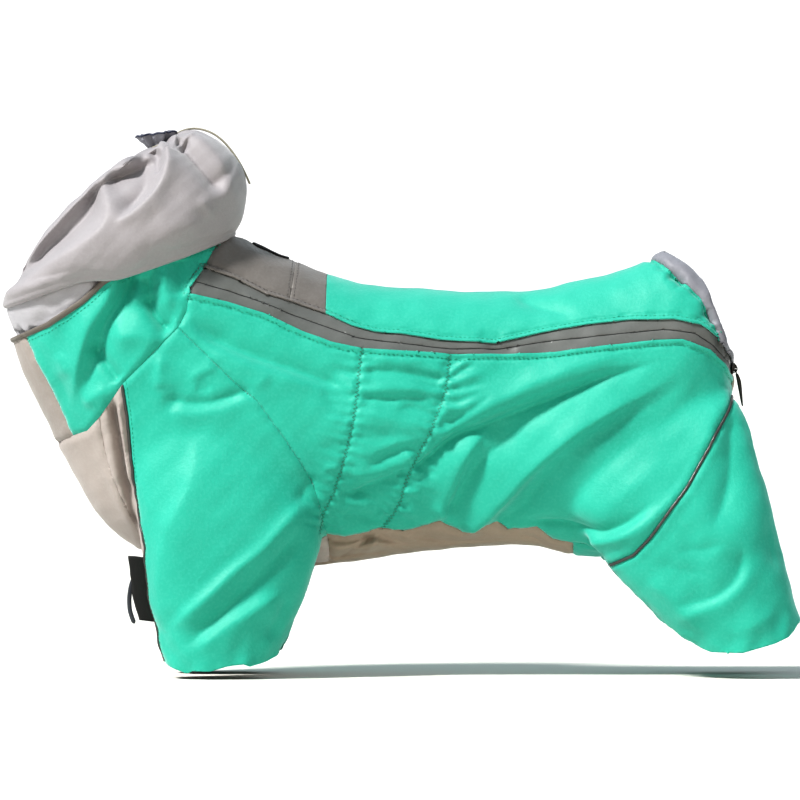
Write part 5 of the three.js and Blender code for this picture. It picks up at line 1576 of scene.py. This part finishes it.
# ---- side label ----
# A folded woven label caught in the front piping's seam, left bare, with the cut end of a dark tape
# behind it.
LABEL_TOP = -191.5               # z, mm
LABEL_BOTTOM = -237.5
LABEL_WIDE = 13.4
LABEL_THICK = 1.1
LABEL_ROWS, LABEL_COLUMNS = 24, 8
DARK_TAPE_ROUTE = [(-217.5, -45.5, -203), (-220.6, -45, -210), (-222.2, -44.6, -219),
                   (-222, -44.6, -228), (-220.4, -45, -234), (-218.6, -45.3, -238.6)]
LABEL_WEAVE = braided("label_weave", dark=(0.008, 0.008, 0.008), light=(0.022, 0.021, 0.021), scale=700,
                      rough=0.7, bump=0.2)
TAPE_DARK = finished("tape_dark", base=(0.05, 0.055, 0.065), rough=0.6)
front_route = piping_routes["front_left"]
order = np.argsort(front_route[:, 2])
label_points = []
for i in range(LABEL_ROWS + 1):
    down = i / LABEL_ROWS
    height = LABEL_TOP + (LABEL_BOTTOM - LABEL_TOP) * down
    seam_x = np.interp(height, front_route[order, 2], front_route[order, 0])
    seam_y = np.interp(height, front_route[order, 2], front_route[order, 1])
    for j in range(LABEL_COLUMNS + 1):
        out = j / LABEL_COLUMNS
        curl = 0.8 * math.sin(math.pi * out) + 0.5 * math.sin(2.2 * down + 1)
        label_points.append((seam_x + 1.0 - LABEL_WIDE * out, seam_y - 0.4 - curl * out,
                             height + 1.6 * out + 0.4 * math.sin(3 * out) * (1 - down)))
label_faces = [face[::-1] for face in patch_faces(LABEL_ROWS, LABEL_COLUMNS)]
label = shell_of("side_label_fold", np.array(label_points), label_faces, LABEL_WEAVE, LABEL_THICK)
riding(label, "black_label", "side_label")
end_route = filled_in(DARK_TAPE_ROUTE, 5)
end_off = np.tile(np.array([0, -1.0, 0]), (len(end_route), 1))
end_part = swept(end_route, end_off, directions(end_route), 3.2, 1.3, 10)
dark_end = joined("seam_tape_end", [end_part], TAPE_DARK)
riding(dark_end, "black_label")

# ---- stitches ----
# Lock stitches in polyester thread: beside both edges of the zip, on both sides of the seam across
# the yoke, below the collar's rim and beside the front piping. A zigzag holds each line of elastic.
STITCH_LONG = 2.3                # mm
STITCH_GAP = 0.9
THREAD = 0.46                    # mm across
STITCH_LIFT = 0.12               # off the cloth
ZIP_STITCH_AWAY = 3.9            # from the tape's edge
YOKE_STITCH_AWAY = 2.4           # from the yoke's seam
RIM_STITCH_AWAY = 5.4
PIPING_STITCH_AWAY = 3.6
YOKE_END_X = -82                 # where the yoke gives way to the back
THROAT_SEAM_X = -298             # where the collar gives way to the throat
ZIGZAG_HALF = 1.25
ZIGZAG_STEP = 1.5


def stitch_row(route, aside):
    """One row of stitches laid on the cloth beside a route."""
    pitch = STITCH_LONG + STITCH_GAP
    places, off_cloth, along, across = laid(evened(route, pitch / 2), aside, STITCH_LIFT)
    places, off_cloth, along, across = (v[::2] for v in (places, off_cloth, along, across))
    reach = np.array([-1.0, -0.62, 0, 0.62, 1.0])
    thick = np.array([0.35, 0.95, 1.0, 0.95, 0.35])
    lift = np.array([-0.30, 0.04, 0.13, 0.04, -0.30])
    turn = 2 * math.pi * np.arange(6) / 6
    wobble = 0.12 * np.sin(np.arange(len(places)) * 2.7)
    centre = (places[:, None, :] + along[:, None, :] * (reach * STITCH_LONG / 2)[None, :, None]
              + off_cloth[:, None, :] * lift[None, :, None]
              + across[:, None, :] * wobble[:, None, None])
    round_about = (across[:, None, None, :] * np.cos(turn)[None, None, :, None]
                   + off_cloth[:, None, None, :] * np.sin(turn)[None, None, :, None])
    points = centre[:, :, None, :] + round_about * (thick * THREAD / 2)[None, :, None, None]
    count = len(places)
    sides, size = len(turn), len(turn) * len(reach)
    first = (np.arange(count) * size)[:, None]
    ring = (np.arange(len(reach) - 1) * sides)[None, :, None]
    here = first[:, :, None] + ring + np.arange(sides)
    after = first[:, :, None] + ring + (np.arange(sides) + 1) % sides
    quads = np.stack([here, after, after + sides, here + sides], axis=-1).reshape(-1, 4)
    ends = np.vstack([first + np.arange(sides)[::-1], first + size - sides + np.arange(sides)])
    return points.reshape(-1, 3), [tuple(q) for q in quads] + [tuple(e) for e in ends]


MINT_THREAD = finished("mint_thread", base=(0.012, 0.33, 0.22), rough=0.5, sheen=0.2)
GREY_THREAD = finished("grey_thread", base=(0.12, 0.11, 0.11), rough=0.5, sheen=0.2)
ELASTIC_THREAD = finished("elastic_thread", base=(0.035, 0.13, 0.09), rough=0.6, sheen=0.2)
upper_run = bent_points[run_of("zip_tape_upper", "back_panel", "yoke_rear", "yoke_front", "collar_right",
                               "collar_left")[0]]
lower_run = bent_points[run_of("zip_tape_lower", "side_left", "shoulder_left", "hind_leg_outer_left",
                               "collar_left", "hind_leg_inner_left")[0]]
for run in (upper_run, lower_run):
    if run[0, 0] > run[-1, 0]:
        run[:] = run[::-1].copy()
on_back = upper_run[:, 0] > YOKE_END_X
zip_rows = [stitch_row(upper_run[on_back], ZIP_STITCH_AWAY), stitch_row(lower_run, -ZIP_STITCH_AWAY)]
yoke_seam = bent_points[run_of("yoke_front", "yoke_rear")[0]]
yoke_rows = [stitch_row(yoke_seam, YOKE_STITCH_AWAY), stitch_row(yoke_seam, -YOKE_STITCH_AWAY),
             stitch_row(upper_run[upper_run[:, 0] < YOKE_END_X], ZIP_STITCH_AWAY)]
on_collar = (neck_rim[:, 2] < 40) & (neck_rim[:, 0] > THROAT_SEAM_X)
collar_rows = [stitch_row(neck_rim[on_collar & (side * neck_rim[:, 1] > 0)], RIM_STITCH_AWAY)
               for side in (-1, 1)]
piping_rows = [stitch_row(piping_routes["front_left"], PIPING_STITCH_AWAY),
               stitch_row(piping_routes["front_right"], -PIPING_STITCH_AWAY)]


def side_route(line, side):
    """A side-view line as a route on the left (-1) or right (+1) face of the cloth."""
    route = []
    for a, b in filled_in(line, 12):
        place = cloth_surface.ray_cast(Vector((a, side * FAR, b)), Vector((0, -side, 0)))[0]
        if place is not None:
            route.append(place)
    return np.array([tuple(p) for p in route])


def zigzag(line, side):
    """The zigzag thread that holds one elastic line."""
    places, off_cloth, _, across = laid(evened(side_route(line, side), ZIGZAG_STEP, 3), 0, 0.15)
    swing = np.where(np.arange(len(places)) % 2 == 0, ZIGZAG_HALF, -ZIGZAG_HALF)[:, None]
    places = places + across * swing
    return swept(places, off_cloth, directions(places), 0.5, 0.4, 6)


elastic_rows = [zigzag(line, side) for line in (ELASTIC_FRONT, ELASTIC_REAR) for side in (-1, 1)]
for name, rows, thread, slot in (
    ("zip_topstitches", zip_rows, MINT_THREAD, MINT_SLOT),
    ("yoke_topstitches", yoke_rows, GREY_THREAD, GREY_SLOT),
    ("collar_topstitches", collar_rows, MINT_THREAD, MINT_SLOT),
    ("piping_topstitches", piping_rows, MINT_THREAD, MINT_SLOT),
    ("elastic_zigzag", elastic_rows, ELASTIC_THREAD, MINT_SLOT),
):
    riding(joined(name, rows, thread), slot)

# ---- floor and light ----
# A pale floor under the hems, and clear daylight from above the head on the left, with a softer
# glow back from the floor.
FLOOR_LEVEL = -277.5             # z, mm
FLOOR_HALF = 60                  # m
floor_shape = bpy.data.meshes.new("floor")
floor_corners = [(a * FLOOR_HALF, b * FLOOR_HALF, 0) for a, b in ((-1, -1), (1, -1), (1, 1), (-1, 1))]
floor_shape.from_pydata(floor_corners, [], [(0, 1, 2, 3)])
floor = bpy.data.objects.new("floor", floor_shape)
bpy.context.collection.objects.link(floor)
floor.location.z = FLOOR_LEVEL * MM
floor.data.materials.append(finished("floor_paint", base=(0.76, 0.74, 0.70), rough=0.9, specular=0.1))


def daylight(name, from_point, strength, soft, colour):
    """Parallel light from a far point; soft is how wide its source looks, in degrees."""
    data = bpy.data.lights.new(name, "SUN")
    data.energy = strength
    data.angle = math.radians(soft)
    data.color = colour
    made = bpy.data.objects.new(name, data)
    bpy.context.collection.objects.link(made)
    made.location = from_point
    made.rotation_euler = (-Vector(from_point)).to_track_quat("-Z", "Y").to_euler()


daylight("key", (-1.5, -1.0, 2.0), 3.8, 9, (1.0, 0.99, 0.96))
daylight("back", (1.2, 1.9, 1.6), 0.4, 30, (0.85, 0.94, 1.0))
daylight("sky", (-0.1, -0.1, 2.0), 0.45, 120, (0.62, 0.86, 1.0))
glow_data = bpy.data.lights.new("ground_glow", "AREA")
glow_data.size = 1.2
glow_data.energy = 4.0
glow_data.color = (1.0, 0.78, 0.46)
glow = bpy.data.objects.new("ground_glow", glow_data)
bpy.context.collection.objects.link(glow)
glow.location = (0.3, -1.4, -0.24)
glow.rotation_euler = (Vector((0, 0, -0.1)) - glow.location).to_track_quat("-Z", "Y").to_euler()
glow.visible_camera = False
world = bpy.data.worlds.new("studio")
bpy.context.scene.world = world
world.use_nodes = True
nodes, links = world.node_tree.nodes, world.node_tree.links
ambient = nodes["Background"]
ambient.inputs["Color"].default_value = (0.88, 0.95, 1.0, 1)
ambient.inputs["Strength"].default_value = 0.24
backdrop = nodes.new("ShaderNodeBackground")
backdrop.inputs["Color"].default_value = (1, 1, 1, 1)
backdrop.inputs["Strength"].default_value = 0.9
seen = nodes.new("ShaderNodeLightPath")
chosen = nodes.new("ShaderNodeMixShader")
links.new(seen.outputs["Is Camera Ray"], chosen.inputs["Fac"])
links.new(ambient.outputs["Background"], chosen.inputs[1])
links.new(backdrop.outputs["Background"], chosen.inputs[2])
links.new(chosen.outputs["Shader"], nodes["World Output"].inputs["Surface"])
bpy.context.scene.view_settings.view_transform = "Standard"
bpy.context.scene.view_settings.look = "High Contrast"
